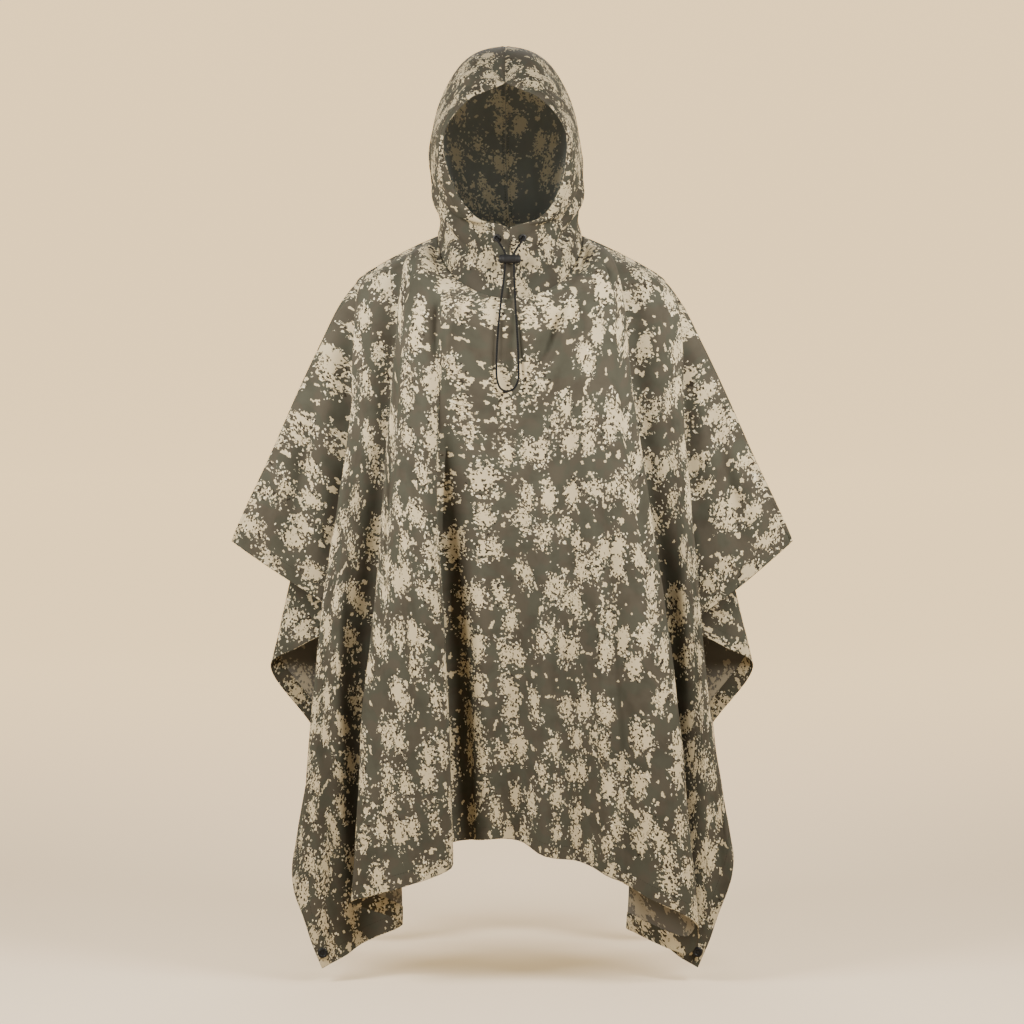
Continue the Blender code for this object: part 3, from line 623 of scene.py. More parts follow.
class Finish:
    """A material with one shader, whose constant values are set on the shader's own sockets."""

    def __init__(self, name, **constants):
        self.material = bpy.data.materials.new(name)
        self.material.use_nodes = True
        self.tree = self.material.node_tree
        self.shader = self.tree.nodes["Principled BSDF"]
        for socket, value in constants.items():
            self.set(self.shader.inputs[socket.replace("_", " ")], value)

    def set(self, socket, value):
        if isinstance(value, Value):
            self.tree.links.new(value.socket, socket)
        elif hasattr(value, "__len__") and socket.type == "RGBA":
            socket.default_value = (*value[:3], 1)
        else:
            socket.default_value = value

    def node(self, kind, settings, inputs, output=0):
        """A new node with its settings and inputs, as the value of one of its outputs."""
        made = self.tree.nodes.new(kind)
        for name, setting in settings.items():
            if name == "stops":
                ramp = made.color_ramp.elements
                while len(ramp) < len(setting):
                    ramp.new(1)
                for stop, (place, grey) in zip(ramp, setting):
                    stop.position = place
                    stop.color = (grey, grey, grey, 1)
            else:
                setattr(made, name, setting)
        for name, value in inputs.items():
            self.set(made.inputs[name], value)
        return Value(self, made.outputs[output])

    def place(self):
        """Places in the piece's own space, in metres."""
        return self.node("ShaderNodeTexCoord", {}, {}, "Object")

    def cut(self):
        """Places on the flat cut, in metres."""
        return self.node("ShaderNodeUVMap", {"uv_map": CUT_MAP}, {})

    def vector(self, operation, first, second, output=0):
        settings = {"operation": operation}
        return self.node("ShaderNodeVectorMath", settings, {0: first, 1: second}, output)

    def noise(self, vector, scale, detail=2.0, roughness=0.5):
        inputs = {"Vector": vector, "Scale": scale, "Detail": detail, "Roughness": roughness}
        return self.node("ShaderNodeTexNoise", {}, inputs)

    def mix(self, factor, first, second):
        settings = {"data_type": "RGBA", "clamp_factor": True}
        return self.node("ShaderNodeMix", settings, {0: factor, 6: first, 7: second}, 2)

    def cells(self, vector, scale, randomness, output):
        """The cells of a flat Voronoi field: their places, or distances from them."""
        inputs = {"Vector": vector, "Scale": scale, "Randomness": randomness}
        settings = {"voronoi_dimensions": "2D", "feature": "F1"}
        return self.node("ShaderNodeTexVoronoi", settings, inputs, output)

    def soft_step(self, value, low, high):
        return self.node("ShaderNodeMapRange", {"interpolation_type": "SMOOTHSTEP"},
                         {"Value": value, "From Min": low, "From Max": high})

    def colour(self, value):
        self.set(self.shader.inputs["Base Color"], value)

    def bump(self, height, strength, distance):
        inputs = {"Height": height, "Strength": strength, "Distance": distance}
        self.set(self.shader.inputs["Normal"], self.node("ShaderNodeBump", {}, inputs))


def scaled(colour, factor):
    """A colour with its channels multiplied."""
    return tuple(factor * channel for channel in colour)


def weave_height(finish, cut):
    """The fine weave of the cloth with its slubs, and small puckers."""
    threads = finish.noise(finish.vector("MULTIPLY", cut, (1400, 500, 1)), 1.0, 1.0)
    slubs = finish.noise(finish.vector("MULTIPLY", cut, (420, 1200, 1)), 1.0, 1.0)
    crumple = finish.noise(cut, 38.0, 3.0, 0.55)
    return threads * 0.25 + slubs * 0.25 + crumple * 1.4


def print_colour(finish, cut, shade=1.0, veil=(0, 0, 0)):
    """A generic camouflage print: ragged pale blotches with dark rims and pale flecks round them."""
    cloth = bpy.context.scene.poncho_cloth
    cell = finish.cells(cut, 1 / cloth.cell, 0.9, "Position")
    width, height = cloth.blotch

    def chance(number):
        shifted = finish.vector("ADD", cell, (number * 3.7, number * 1.9, 0))
        return finish.node("ShaderNodeTexWhiteNoise", {"noise_dimensions": "2D"}, {"Vector": shifted})

    def grain(across, down):
        return finish.noise(finish.vector("MULTIPLY", cell, (across, down, 1)), 1.0, 0.0)

    spread = finish.vector("MULTIPLY", cell, (1 / width, 1 / height, 1))
    islands = finish.cells(spread, 1.0, 1.0, "Distance")
    blotches = finish.noise(spread, 1.6, 0.0)
    fingers = grain(195.0, 155.0)
    field = (blotches * BLOTCH_SHARE - islands * ISLAND_SHARE + (fingers - 0.5) * FINGER_SHARE
             + (chance(1) - 0.5) * GRAIN_SHARE + BLOTCH_BASE)
    stars = grain(78.0, 62.0) + (fingers - 0.5) * STAR_FINGERS
    curls = finish.noise(cut, 250.0, 1.0)
    curl = (curls > CURL_BAND[0]) * (curls < CURL_BAND[1])
    rim = (field < RIM_LEVEL) * (curl * RIM_CURL + chance(3) > RIM_CHANCE)
    fringe = (field > FRINGE_LEVEL) * (curl * FRINGE_CURL + chance(4) > FRINGE_CHANCE)
    shadow = finish.soft_step(finish.noise(cut, 19.0, 3.0, 0.6), *SHADOW_BAND)
    mould = finish.soft_step(finish.noise(cut, 31.0, 1.0), *MOULD_BAND)
    ground, earth, dark, blotch, fleck = [
        tuple(channel + haze for channel, haze in zip(scaled(colour, shade), veil))
        for colour in (cloth.ground, cloth.earth, cloth.dark, cloth.pale, cloth.fleck)]
    colour = finish.mix(shadow * SHADOW_SHARE, finish.mix(mould, ground, earth), dark)
    colour = finish.mix(stars > LONE_LEVEL, colour, blotch)
    colour = finish.mix(fringe, colour, fleck)
    colour = finish.mix(field > PALE_LEVEL, colour, finish.mix(rim, blotch, dark))
    drift = finish.noise(cut, 9.0, 2.0)
    return finish.node("ShaderNodeHueSaturation", {}, {"Value": drift * 0.30 + 0.85, "Color": colour})


@lru_cache(maxsize=None)
def cloth_finish(face):
    """One face of the cloth, with its print and its weave."""
    cloth = bpy.context.scene.poncho_cloth
    finish = Finish(face.name, Roughness=face.roughness, Specular_IOR_Level=face.specular)
    cut = finish.cut()
    veil = getattr(cloth, face.veil) if face.veil else (0, 0, 0)
    finish.colour(print_colour(finish, cut, face.shade, veil))
    finish.bump(weave_height(finish, cut), face.relief, WEAVE_DEPTH)
    return finish.material


@lru_cache(maxsize=None)
def thread_finish():
    """Sewing thread with its twist."""
    finish = Finish("sewing_thread", Roughness=0.9, Specular_IOR_Level=0.08)
    thread = bpy.context.scene.poncho_cloth.thread
    tone = finish.noise(finish.place(), 900.0, 1.0)
    finish.colour(finish.mix(tone, thread, scaled(thread, 1.5)))
    finish.bump(tone, 0.4, 0.0002)
    return finish.material


@lru_cache(maxsize=None)
def metal_finish():
    """Black lacquered metal, worn a little brighter in random flecks."""
    finish = Finish("black_lacquered_metal", Metallic=0.4, Specular_IOR_Level=0.2, Coat_Weight=0.08)
    metal = bpy.context.scene.poncho_fittings.metal
    wear = finish.noise(finish.place(), 420.0, 3.0, 0.6)
    finish.colour(finish.mix(finish.soft_step(wear, 0.55, 0.75), metal, scaled(metal, 2.6)))
    finish.set(finish.shader.inputs["Roughness"], wear * 0.3 + 0.35)
    finish.bump(wear, 0.15, 0.0002)
    return finish.material


@lru_cache(maxsize=None)
def plastic_finish():
    """Moulded black plastic with a fine grain."""
    finish = Finish("moulded_black_plastic", Specular_IOR_Level=0.12)
    plastic = bpy.context.scene.poncho_fittings.plastic
    at = finish.place()
    smudge = finish.noise(at, 130.0, 2.0)
    finish.colour(finish.mix(smudge, plastic, scaled(plastic, 1.9)))
    finish.set(finish.shader.inputs["Roughness"], smudge * 0.2 + 0.42)
    finish.bump(finish.noise(at, 2600.0, 2.0), 0.25, 0.0001)
    return finish.material


@lru_cache(maxsize=None)
def cord_finish():
    """Braided black cord: two sets of strands that cross, read from the cord's own map."""
    finish = Finish("braided_black_cord", Roughness=0.9, Specular_IOR_Level=0.05)
    cord = bpy.context.scene.poncho_fittings.cord
    cut = finish.cut()
    waves = []
    for lean in (-1, 1):
        way = (lean * CORD_TURNS * math.tau / 2, CORD_PITCH, 0)
        strand = finish.vector("DOT_PRODUCT", cut, way, 1)
        waves.append(strand.math("SINE", strand))
    braid = waves[0] * waves[1]
    finish.colour(finish.mix(finish.soft_step(braid, -0.4, 0.9), cord, scaled(cord, 3.2)))
    finish.bump(braid, 0.6, 0.0004)
    return finish.material


# ---------------------------------------------------------------------------------------------
# Curves and surfaces

def smooth(knots, at):
    """Points on the centripetal curve through knots, at knot numbers with fractions."""
    knots = np.asarray(knots, float)
    at = np.asarray(at, float)
    ends = np.concatenate((2 * knots[:1] - knots[1:2], knots, 2 * knots[-1:] - knots[-2:-1]))
    chords = np.diff(ends, axis=0)
    steps = np.sqrt(np.maximum(np.linalg.norm(chords, axis=-1, keepdims=True), 1e-3))
    slopes = chords / steps
    tangents = (slopes[:-1] * steps[1:] + slopes[1:] * steps[:-1]) / (steps[:-1] + steps[1:])
    i = np.minimum(at.astype(int), len(knots) - 2)
    f = (at - i).reshape(-1, *[1] * (knots.ndim - 1))
    reach = steps[i + 1]
    return (
        (2 * f**3 - 3 * f**2 + 1) * knots[i]
        + (f**3 - 2 * f**2 + f) * reach * tangents[i]
        + (3 * f**2 - 2 * f**3) * knots[i + 1]
        + (f**3 - f**2) * reach * tangents[i + 1]
    )


def lengths_along(points):
    """The length of a line up to each of its points."""
    return np.append(0, np.cumsum(np.linalg.norm(np.diff(points, axis=0), axis=1)))


def read_off(at, places, field):
    """A field known at some places, read off at others."""
    return np.stack([np.interp(at, places, column) for column in np.transpose(field)], -1)


def along(points, shares):
    """The points at the given shares of a line's length."""
    lengths = lengths_along(points)
    return read_off(np.asarray(shares) * lengths[-1], lengths, points)


def unit(vectors, fallback=(0, 0, 1)):
    """Vectors at length one, with the fallback where one has no length."""
    length = np.linalg.norm(vectors, axis=-1, keepdims=True)
    return np.where(length > 1e-9, vectors / np.maximum(length, 1e-9), fallback)


def grid_normals(points, facing, fallback):
    """The normals of a grid of points, turned to the side that facing (-1 or 1) says."""
    across, down = np.gradient(points, axis=0), np.gradient(points, axis=1)
    return unit(np.cross(across, down) * facing, fallback)


def swell(distance, middle, width):
    """A soft swell of height one round a middle."""
    return np.exp(-(((distance - middle) / width) ** 2))


def neckline(cut, side, face):
    """A point of the neckline, cut millimetres out from its middle, on the front (-1) or back."""
    turn = math.asin(min(1.0, cut / NECK_HALF_WIDTH))
    middle = NECK_FRONT if face < 0 else NECK_BACK
    return np.array((
        side * NECK_HALF_WIDTH * math.sin(turn),
        middle.y * math.cos(turn) + face * SEAM_GAP / 2 * math.sin(turn),
        NECK_SIDE_Z + (middle.z - NECK_SIDE_Z) * math.cos(turn),
    ))


def shoulder_line(cut, side, face):
    """A point of the shoulder line, cut millimetres out from the middle of the neck."""
    knots = [(point.out, 0, point.z) for point in SHOULDER]
    place = np.interp(cut, [point.cut for point in SHOULDER], range(len(SHOULDER)))
    out, _, z = smooth(knots, [place])[0]
    share = np.clip((out - NECK_HALF_WIDTH) / NECK_HALF_WIDTH, 0, 1)
    reach = 1 + (REACH[side] - 1) * share
    return np.array((side * out * reach, face * SEAM_GAP / 2, z))


def top_edge(cut, side, face):
    """A point on the upper edge of a panel."""
    if cut < NECK_HALF_WIDTH:
        return neckline(cut, side, face)
    return shoulder_line(cut, side, face)


def top_edge_cut(cut, face):
    """The same point on the flat cut: how far out and how far down."""
    turn = math.asin(min(1.0, cut / NECK_HALF_WIDTH))
    return cut, NECK_CUT[face] * math.cos(turn)


def fold_line(fold, side, face, shares):
    """The points of one fold line at the given shares of its length."""
    top = top_edge(fold.start, side, face)
    reach = 1.0 if face < 0 else REACH[side]
    if fold.start == HALF_WIDTH:
        return np.repeat(top[None], len(shares), 0)

    def station(out, deep, share):
        return np.array((side * out * reach, face * deep, top[2] + share * (fold.z - top[2])))

    upper = station(fold.out_high, fold.deep_high, UPPER_STATION)
    lower = station(fold.out_low, fold.deep_low, LOWER_STATION)
    end = station(fold.out, fold.deep, 1)
    roll = top + (upper - top) * np.array((ROLL_OUT, ROLL_OUT, ROLL_DROP))
    return along(smooth((top, roll, upper, lower, end), np.linspace(0, 4, LINE_POINTS)), shares)


def panel_folds(face):
    """The fold lines of the front (-1) or back panel from left to right, each with its side."""
    halves, middle = PANELS[face]
    folds = [(-1, fold) for fold in reversed(halves[-1])] + [(1, middle)]
    return folds + [(1, fold) for fold in halves[1]]


def places_across(face, lines):
    """Where a panel is drawn across its fold lines, with a column at each end of its neckline."""
    folds = panel_folds(face)
    widths = np.linalg.norm(np.diff(lines, axis=0), axis=2).max(1)
    places = []
    for i, width in enumerate(widths):
        steps = max(LEAST_COLUMNS, round(width / COLUMN_WIDTH))
        places += list(i + np.arange(steps) / steps)
    places.append(len(folds) - 1)
    starts = [side * fold.start for side, fold in folds]
    for corner in np.interp((-NECK_HALF_WIDTH, NECK_HALF_WIDTH), starts, range(len(starts))):
        nearest = int(np.argmin(np.abs(np.array(places) - corner)))
        places[nearest] = corner
    return np.array(places)


Surface = namedtuple("Surface", "points normals cut")


def crease_heights(cut, creases):
    """How far the creases raise or lower each place of the flat cut."""
    height = np.zeros(cut.shape[:-1])
    for crease in creases:
        start = np.array((crease.from_out, crease.from_down))
        way = np.array((crease.to_out, crease.to_down)) - start
        length = np.linalg.norm(way)
        way = way / length
        share = ((cut - start) @ way) / length
        bow = crease.bow * 4 * share * (1 - share)
        aside = (cut - start) @ np.array((-way[1], way[0])) - bow
        width = crease.width * (WIDTH_AT_START + WIDENING * np.clip(share, 0, 1))
        taper = np.sin(math.pi * np.clip(share, 0, 1)) ** CREASE_TAPER
        height += crease.height * taper * swell(aside, 0, width)
    return height


def ripple_heights(cut, seed):
    """Small uneven waves that run mostly down the cloth."""
    chance = np.random.default_rng(seed)
    height = np.zeros(cut.shape[:-1])
    for _ in range(RIPPLES):
        length = chance.uniform(*RIPPLE_LENGTH)
        lean = chance.normal(0, RIPPLE_LEAN)
        phase, slow = chance.uniform(0, math.tau, 2)
        across = cut[..., 0] * math.cos(lean) + cut[..., 1] * math.sin(lean)
        strength = 0.5 + 0.5 * np.sin(cut[..., 1] / (RIPPLE_BEAT * length) + slow)
        height += strength * np.sin(math.tau * across / length + phase)
    return height * RIPPLE_HEIGHT


def eased(points, normals, height, face):
    """Heights of creases, lowered wherever the skin would fold over itself."""
    for _ in range(EASE_ROUNDS):
        moved = grid_normals(points + normals * height[..., None], face, (0, face, 0))
        turned = (moved * normals).sum(-1)
        sharp = np.clip((LEAST_TURN - turned) / LEAST_TURN, 0, 1)
        for axis, reach in ((0, EASE_COLUMNS), (1, EASE_ROWS)):
            around = [np.roll(sharp, step, axis) for step in range(-reach, reach + 1)]
            sharp = (np.max(around, 0) + np.mean(around, 0)) / 2
        height = height * (1 - EASE_SHARE * sharp)
    return height


@lru_cache(maxsize=None)
def panel_surface(face):
    """The inner skin of a panel, column by column, with its creases."""
    folds = panel_folds(face)
    middle = np.linspace(*MIDDLE_SHARES, PANEL_ROWS - 2 * len(EDGE_SHARES))
    shares = np.concatenate((EDGE_SHARES, middle, 1 - np.array(EDGE_SHARES[::-1])))
    lines = np.array([fold_line(fold, side, face, shares) for side, fold in folds])
    at = places_across(face, lines)
    points = smooth(lines, at)
    before = at.astype(int)
    after = np.minimum(before + 1, len(lines) - 1)
    straight = lines[before] + (at % 1)[:, None, None] * (lines[after] - lines[before])
    cuts = np.interp(at, range(len(folds)), [side * fold.start for side, fold in folds])
    sides = np.where(cuts < 0, -1, 1)
    tops = np.array([top_edge(abs(cut), side, face) for cut, side in zip(cuts, sides)])
    fade = np.clip(1 - shares / TOP_FADE, 0, 1)
    points += (tops - points[:, 0])[:, None] * fade[None, :, None]

    top_cut = np.array([top_edge_cut(abs(cut), face) for cut in cuts])
    top_cut[:, 0] *= sides
    ends = [(side * fold.cut_out, fold.cut_down) for side, fold in folds]
    end_cut = read_off(at, range(len(folds)), ends)
    cut = top_cut[:, None] + (end_cut - top_cut)[:, None] * shares[None, :, None]
    corner = np.hypot(HALF_WIDTH - np.abs(cut[..., 0]), LENGTH - cut[..., 1])
    points = points + (straight - points) * swell(corner, 0, CORNER_REACH)[..., None]

    normals = grid_normals(points, face, (0, face, 0))
    calm = np.clip((cut[..., 1] - top_cut[:, None, 1]) / RIPPLE_FADE, 0, 1)
    calm *= np.clip((HALF_WIDTH - np.abs(cut[..., 0])) / RIPPLE_FADE + SIDE_SHARE, 0, 1)
    calm *= np.clip((corner - CORNER_CALM) / CORNER_CALM, 0, 1)
    ripples = ripple_heights(cut, RIPPLE_SEED + face)
    height = eased(points, normals, calm * (crease_heights(cut, CREASES[face]) + ripples), face)
    below = np.linalg.norm(cut - cut[:, :1], axis=2)
    height += NECK_RIDGE * (swell(below, RIDGE_PLACE, RIDGE_WIDTH)
                            - swell(below, GROOVE_PLACE, GROOVE_WIDTH))
    points = points + normals * height[..., None]
    return Surface(points, grid_normals(points, face, (0, face, 0)), cut)


def border_shares(surface, distance):
    """For each column, the share of its length that lies this far from the border."""
    first, last = surface.cut[:, 0], surface.cut[:, -1]
    sides = np.where(last[:, 0] < 0, -1, 1)
    reach = np.maximum((last[:, 0] - first[:, 0]) * sides, 1e-6)
    drop = np.maximum(last[:, 1] - first[:, 1], 1e-6)
    by_side = (HALF_WIDTH - distance - first[:, 0] * sides) / reach
    by_hem = (LENGTH - distance - first[:, 1]) / drop
    return np.clip(np.minimum(by_side, by_hem), 0, 1)


def cross_line(surface, shares):
    """The line across a surface at a share of each column: points, normals and places cut."""
    first, last = surface.cut[:, 0], surface.cut[:, -1]
    drop = np.linalg.norm(last - first, axis=1)
    far = np.linalg.norm(surface.cut - first[:, None], axis=2) / np.maximum(drop, 1e-6)[:, None]
    points, normals, cut = (
        np.array([read_off(share, steps, column) for share, steps, column in zip(shares, far, field)])
        for field in surface)
    return points, unit(normals), cut


def rib_points(rib, side, turns):
    """The points of one hood rib from the face edge (0) round the side (1) to the seam (2)."""
    turns = np.asarray(turns, float)
    angle = np.radians(90) * np.minimum(turns, 2 - turns)
    front = turns <= 1
    out = np.where(front, rib.edge_out + (rib.side_out - rib.edge_out) * np.sin(angle),
                   rib.side_out * np.sin(angle))
    far_y, far_z = np.where(front, rib.edge_y, rib.seam_y), np.where(front, rib.edge_z, rib.seam_z)
    y = rib.side_y + (far_y - rib.side_y) * np.cos(angle)
    z = rib.side_z + (far_z - rib.side_z) * np.cos(angle)
    return np.stack((side * out, y, z), 1)


def lean_at(points):
    """How far the hood leans aside at each point, more with its height."""
    return HOOD_LEAN * np.clip(points[..., 2] / LEAN_HEIGHT, 0, 1)


def hood_points(side, places, turns):
    """The inner skin of half the hood, a row for each place between its ribs."""
    points = smooth([rib_points(rib, side, turns) for rib in HOOD_RIBS], places)
    points[..., 0] = side * np.maximum(side * points[..., 0], 0)
    points[..., 0] += lean_at(points)
    return points


def flattened(points):
    """A grid of points laid out flat with its edges near their own lengths, in metres."""
    half = points.shape[1] // 2
    run = np.array([lengths_along(row) for row in points])
    down = np.broadcast_to(lengths_along(points[:, half])[:, None], run.shape)
    flat = np.stack((run - run[:, half:half + 1], down), 2)
    every, first, last = slice(None), slice(None, -1), slice(1, None)
    pairs = (((every, first), (every, last)), ((first, every), (last, every)),
             ((first, first), (last, last)), ((first, last), (last, first)))
    lengths = [np.linalg.norm(points[a] - points[b], axis=2, keepdims=True) for a, b in pairs]
    for _ in range(LAY_ROUNDS):
        move, weight = np.zeros_like(flat), np.full(flat.shape[:2] + (1,), 1e-9)
        for (a, b), length in zip(pairs, lengths):
            way = flat[b] - flat[a]
            now = np.maximum(np.linalg.norm(way, axis=2, keepdims=True), 1e-9)
            pull = way * (1 - length / now) * 0.5
            move[a] += pull
            move[b] -= pull
            weight[a] += 1
            weight[b] += 1
        flat += LAY_PULL * move / weight
    return flat * MM


@lru_cache(maxsize=None)
def face_edge():
    """The hood's face edge as a ring: up its left side, over the peak and down its right."""
    places = np.linspace(CHIN_RIB, PEAK, FACE_STEPS)
    left, right = hood_points(-1, places, (0,)), hood_points(1, places, (0,))
    return np.concatenate((left[:, 0], right[-2:0:-1, 0]))


def nearest_distance(points, line):
    """How far each point lies from the nearest point of a line."""
    return np.min([np.linalg.norm(points - place, axis=-1) for place in line], 0)


def hood_lay(side, places, turns):
    """Where places of half the hood lie on its flat cut, in metres."""
    ribs, rounds = np.linspace(0, PEAK, LAY_ROWS), np.linspace(0, 2, LAY_COLUMNS)
    flat = flattened(hood_points(side, ribs, rounds))
    rows = np.stack([read_off(turns, rounds, row) for row in flat])
    lay = np.stack([read_off(places, ribs, rows[:, j]) for j in range(len(turns))], 1)
    return lay * (-side, 1) + (LAY_PLACE[0] * side, LAY_PLACE[1])


def hood_crease_heights(points):
    """How far the creases raise or lower each place of the hood."""
    away = points - HOOD_CENTRE
    reach = np.linalg.norm(away, axis=2)[..., None]
    shares = np.linspace(0, 1, CREASE_STEPS)[:, None]
    height = np.zeros(points.shape[:2])
    for crease in HOOD_CREASES:
        line = np.array(crease.start) * (1 - shares) + np.array(crease.end) * shares
        gaps = np.linalg.norm(unit(away)[:, :, None] - unit(line - HOOD_CENTRE), axis=3) * reach
        taper = np.sin(math.pi * (gaps.argmin(2) + 0.5) / CREASE_STEPS) ** HOOD_TAPER
        height += crease.height * taper * swell(gaps.min(2), 0, crease.width)
    return height


@lru_cache(maxsize=None)
def hood_surface(side):
    """The inner skin of half the hood with its creases, tunnel and crown seam."""
    places, turns = np.linspace(0, PEAK, HOOD_ROWS), np.linspace(0, 2, HOOD_COLUMNS)
    points = hood_points(side, places, turns)
    points[..., 0] += side * SEAM_GAP / 2
    edge = nearest_distance(points, face_edge())
    seam = np.abs(points[..., 0] - lean_at(points))
    back = np.clip((turns[None] - 1.0) / BACK_FADE, 0, 1)
    tunnel = np.clip(edge / CASING_WIDTH, 0, 1)
    height = CASING_PUFF * np.sin(math.pi * tunnel) ** PUFF_TAPER
    height -= CASING_GROOVE * swell(edge, CASING_WIDTH, CASING_GROOVE_WIDTH)
    height += back * SEAM_RIDGE * (swell(seam, SEAM_RIDGE_PLACE, SEAM_RIDGE_WIDTH)
                                   - SEAM_GROOVE * swell(seam, 0, SEAM_GROOVE_WIDTH))
    height += np.clip(edge / CASING_WIDTH - CASING_CALM, 0, 1) * hood_crease_heights(points)
    above = (turns[None] < 1) * (points[..., 2] > CHIN_HEIGHT)
    height *= np.clip(seam / SEAM_CALM + above + back * BACK_CALM, 0, 1)
    height *= np.clip(places / NECK_CALM, 0, 1)[:, None]
    points = points + grid_normals(points, -side, (0, -1, 0)) * height[..., None]
    lean = lean_at(points)
    points[..., 0] = side * np.maximum(side * (points[..., 0] - lean), SEAM_GAP / 2) + lean
    tuck = np.clip(1 - places / TUCK_REACH, 0, 1)[:, None, None]
    points = points - tuck * (unit(points * (1, 1, 0)) * HOOD_TUCK + (0, 0, TUCK_DROP))
    normals = grid_normals(points, -side, (0, -1, 0))
    return Surface(points, normals, hood_lay(side, places, turns))


@lru_cache(maxsize=None)
def hood_tree():
    """Both halves of the hood's inner skin as a tree for nearest points."""
    corners, faces = [], []
    for side in (-1, 1):
        surface = hood_surface(side)
        quads = grid_faces(*surface.points.shape[:2], False, side < 0)
        faces += (quads + len(corners)).tolist()
        corners += surface.points.reshape(-1, 3).tolist()
    return BVHTree.FromPolygons(corners, faces)


def hood_ring(width, rise):
    """A line round the face opening, width in from its edge, raised off the inner skin."""
    tree, ring = hood_tree(), face_edge()
    points, normals = [], []
    for i, point in enumerate(ring):
        edge = Vector(ring[(i + 1) % len(ring)] - ring[i - 1]).normalized()
        place, normal, _, _ = tree.find_nearest(Vector(point))
        if width:
            away = edge.cross(normal)
            away *= 1 if away.dot(Vector(point) - OPENING_CENTRE) > 0 else -1
            place, normal, _, _ = tree.find_nearest(Vector(point) + away.normalized() * width)
        points.append(place + normal * rise)
        normals.append(normal)
    return np.array(points), np.array(normals)


# ---------------------------------------------------------------------------------------------
# Meshes

def grid_faces(columns, rows, closed, flipped):
    """The faces of a grid of points, one column after another."""
    i = np.arange(columns if closed else columns - 1)[:, None]
    j = np.arange(rows - 1)[None]
    after = (i + 1) % columns
    quads = np.stack([i * rows + j, i * rows + j + 1, after * rows + j + 1, after * rows + j], 2)
    quads = quads.reshape(-1, 4)
    return quads[:, ::-1] if flipped else quads


def add_piece(name, mesh, finishes):
    """A new smooth piece of a mesh with its materials."""
    mesh.shade_smooth()
    piece = bpy.data.objects.new(name, mesh)
    bpy.context.collection.objects.link(piece)
    for finish in finishes:
        mesh.materials.append(finish)
    return piece


def add_grid(name, points, cut, finishes, closed=False, flipped=False, dropped=None):
    """A new piece on a grid of points in millimetres, with its flat cut as a UV map."""
    faces = grid_faces(*points.shape[:2], closed, flipped)
    if dropped is not None:
        faces = faces[~dropped.reshape(-1)[faces].any(1)]
    mesh = bpy.data.meshes.new(name)
    mesh.from_pydata((points.reshape(-1, 3) * MM).tolist(), [], faces.tolist())
    layer = mesh.uv_layers.new(name=CUT_MAP)
    at = np.zeros(len(mesh.loops), np.int32)
    mesh.loops.foreach_get("vertex_index", at)
    layer.data.foreach_set("uv", cut.reshape(-1, 2)[at].astype(np.float32).ravel())
    shell = bmesh.new()
    shell.from_mesh(mesh)
    bmesh.ops.remove_doubles(shell, verts=shell.verts, dist=1e-6)
    loose = [vert for vert in shell.verts if not vert.link_faces]
    bmesh.ops.delete(shell, geom=loose, context="VERTS")
    shell.to_mesh(mesh)
    shell.free()
    return add_piece(name, mesh, finishes)


def select_only(piece):
    """Makes the piece the only selected and active object."""
    bpy.ops.object.select_all(action="DESELECT")
    piece.select_set(True)
    bpy.context.view_layer.objects.active = piece


def select_edges(mesh, test):
    """Selects the edges of the mesh being edited whose ends all pass the test."""
    shape = bmesh.from_edit_mesh(mesh)
    for edge in shape.edges:
        edge.select_set(all(test(vert.co) for vert in edge.verts))
    bmesh.update_edit_mesh(mesh)


def leave_closed():
    """Faces the mesh being edited outwards, and leaves edit mode."""
    bpy.ops.mesh.select_all(action="SELECT")
    bpy.ops.mesh.normals_make_consistent(inside=False)
    bpy.ops.object.mode_set(mode="OBJECT")


def thicken(piece, thickness, offset=1.0, reverse=0):
    """Grows the cloth's wall, with the reverse as another material, and keeps its edges crisp."""
    wall = piece.modifiers.new("wall", "SOLIDIFY")
    wall.thickness = thickness
    wall.offset = offset
    wall.material_offset = reverse
    select_only(piece)
    bpy.ops.object.modifier_apply(modifier=wall.name)
    bpy.ops.object.shade_smooth_by_angle(angle=CLOTH_EDGE)
    return piece


def hand_in(piece, slot, *nodes):
    """Lets the piece ride on the garment, and stand for its nodes."""
    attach(piece, BODY)
    if nodes:
        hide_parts(*nodes)
    return piece


def stitch_runs(points, normals, closed=False):
    """Stitches along a line: their middles, ways and normals, evenly spaced."""
    if closed:
        points = np.concatenate((points, points[:1]))
        normals = np.concatenate((normals, normals[:1]))
    lengths = lengths_along(points)
    count = int(lengths[-1] / (STITCH_LENGTH + STITCH_GAP))
    places = (np.arange(count) + 0.5) * lengths[-1] / max(count, 1)
    before, after = (read_off(places + half, lengths, points)
                     for half in (-STITCH_LENGTH / 2, STITCH_LENGTH / 2))
    middles, facing = (read_off(places, lengths, field) for field in (points, normals))
    return middles, unit(after - before, (1, 0, 0)), unit(facing)


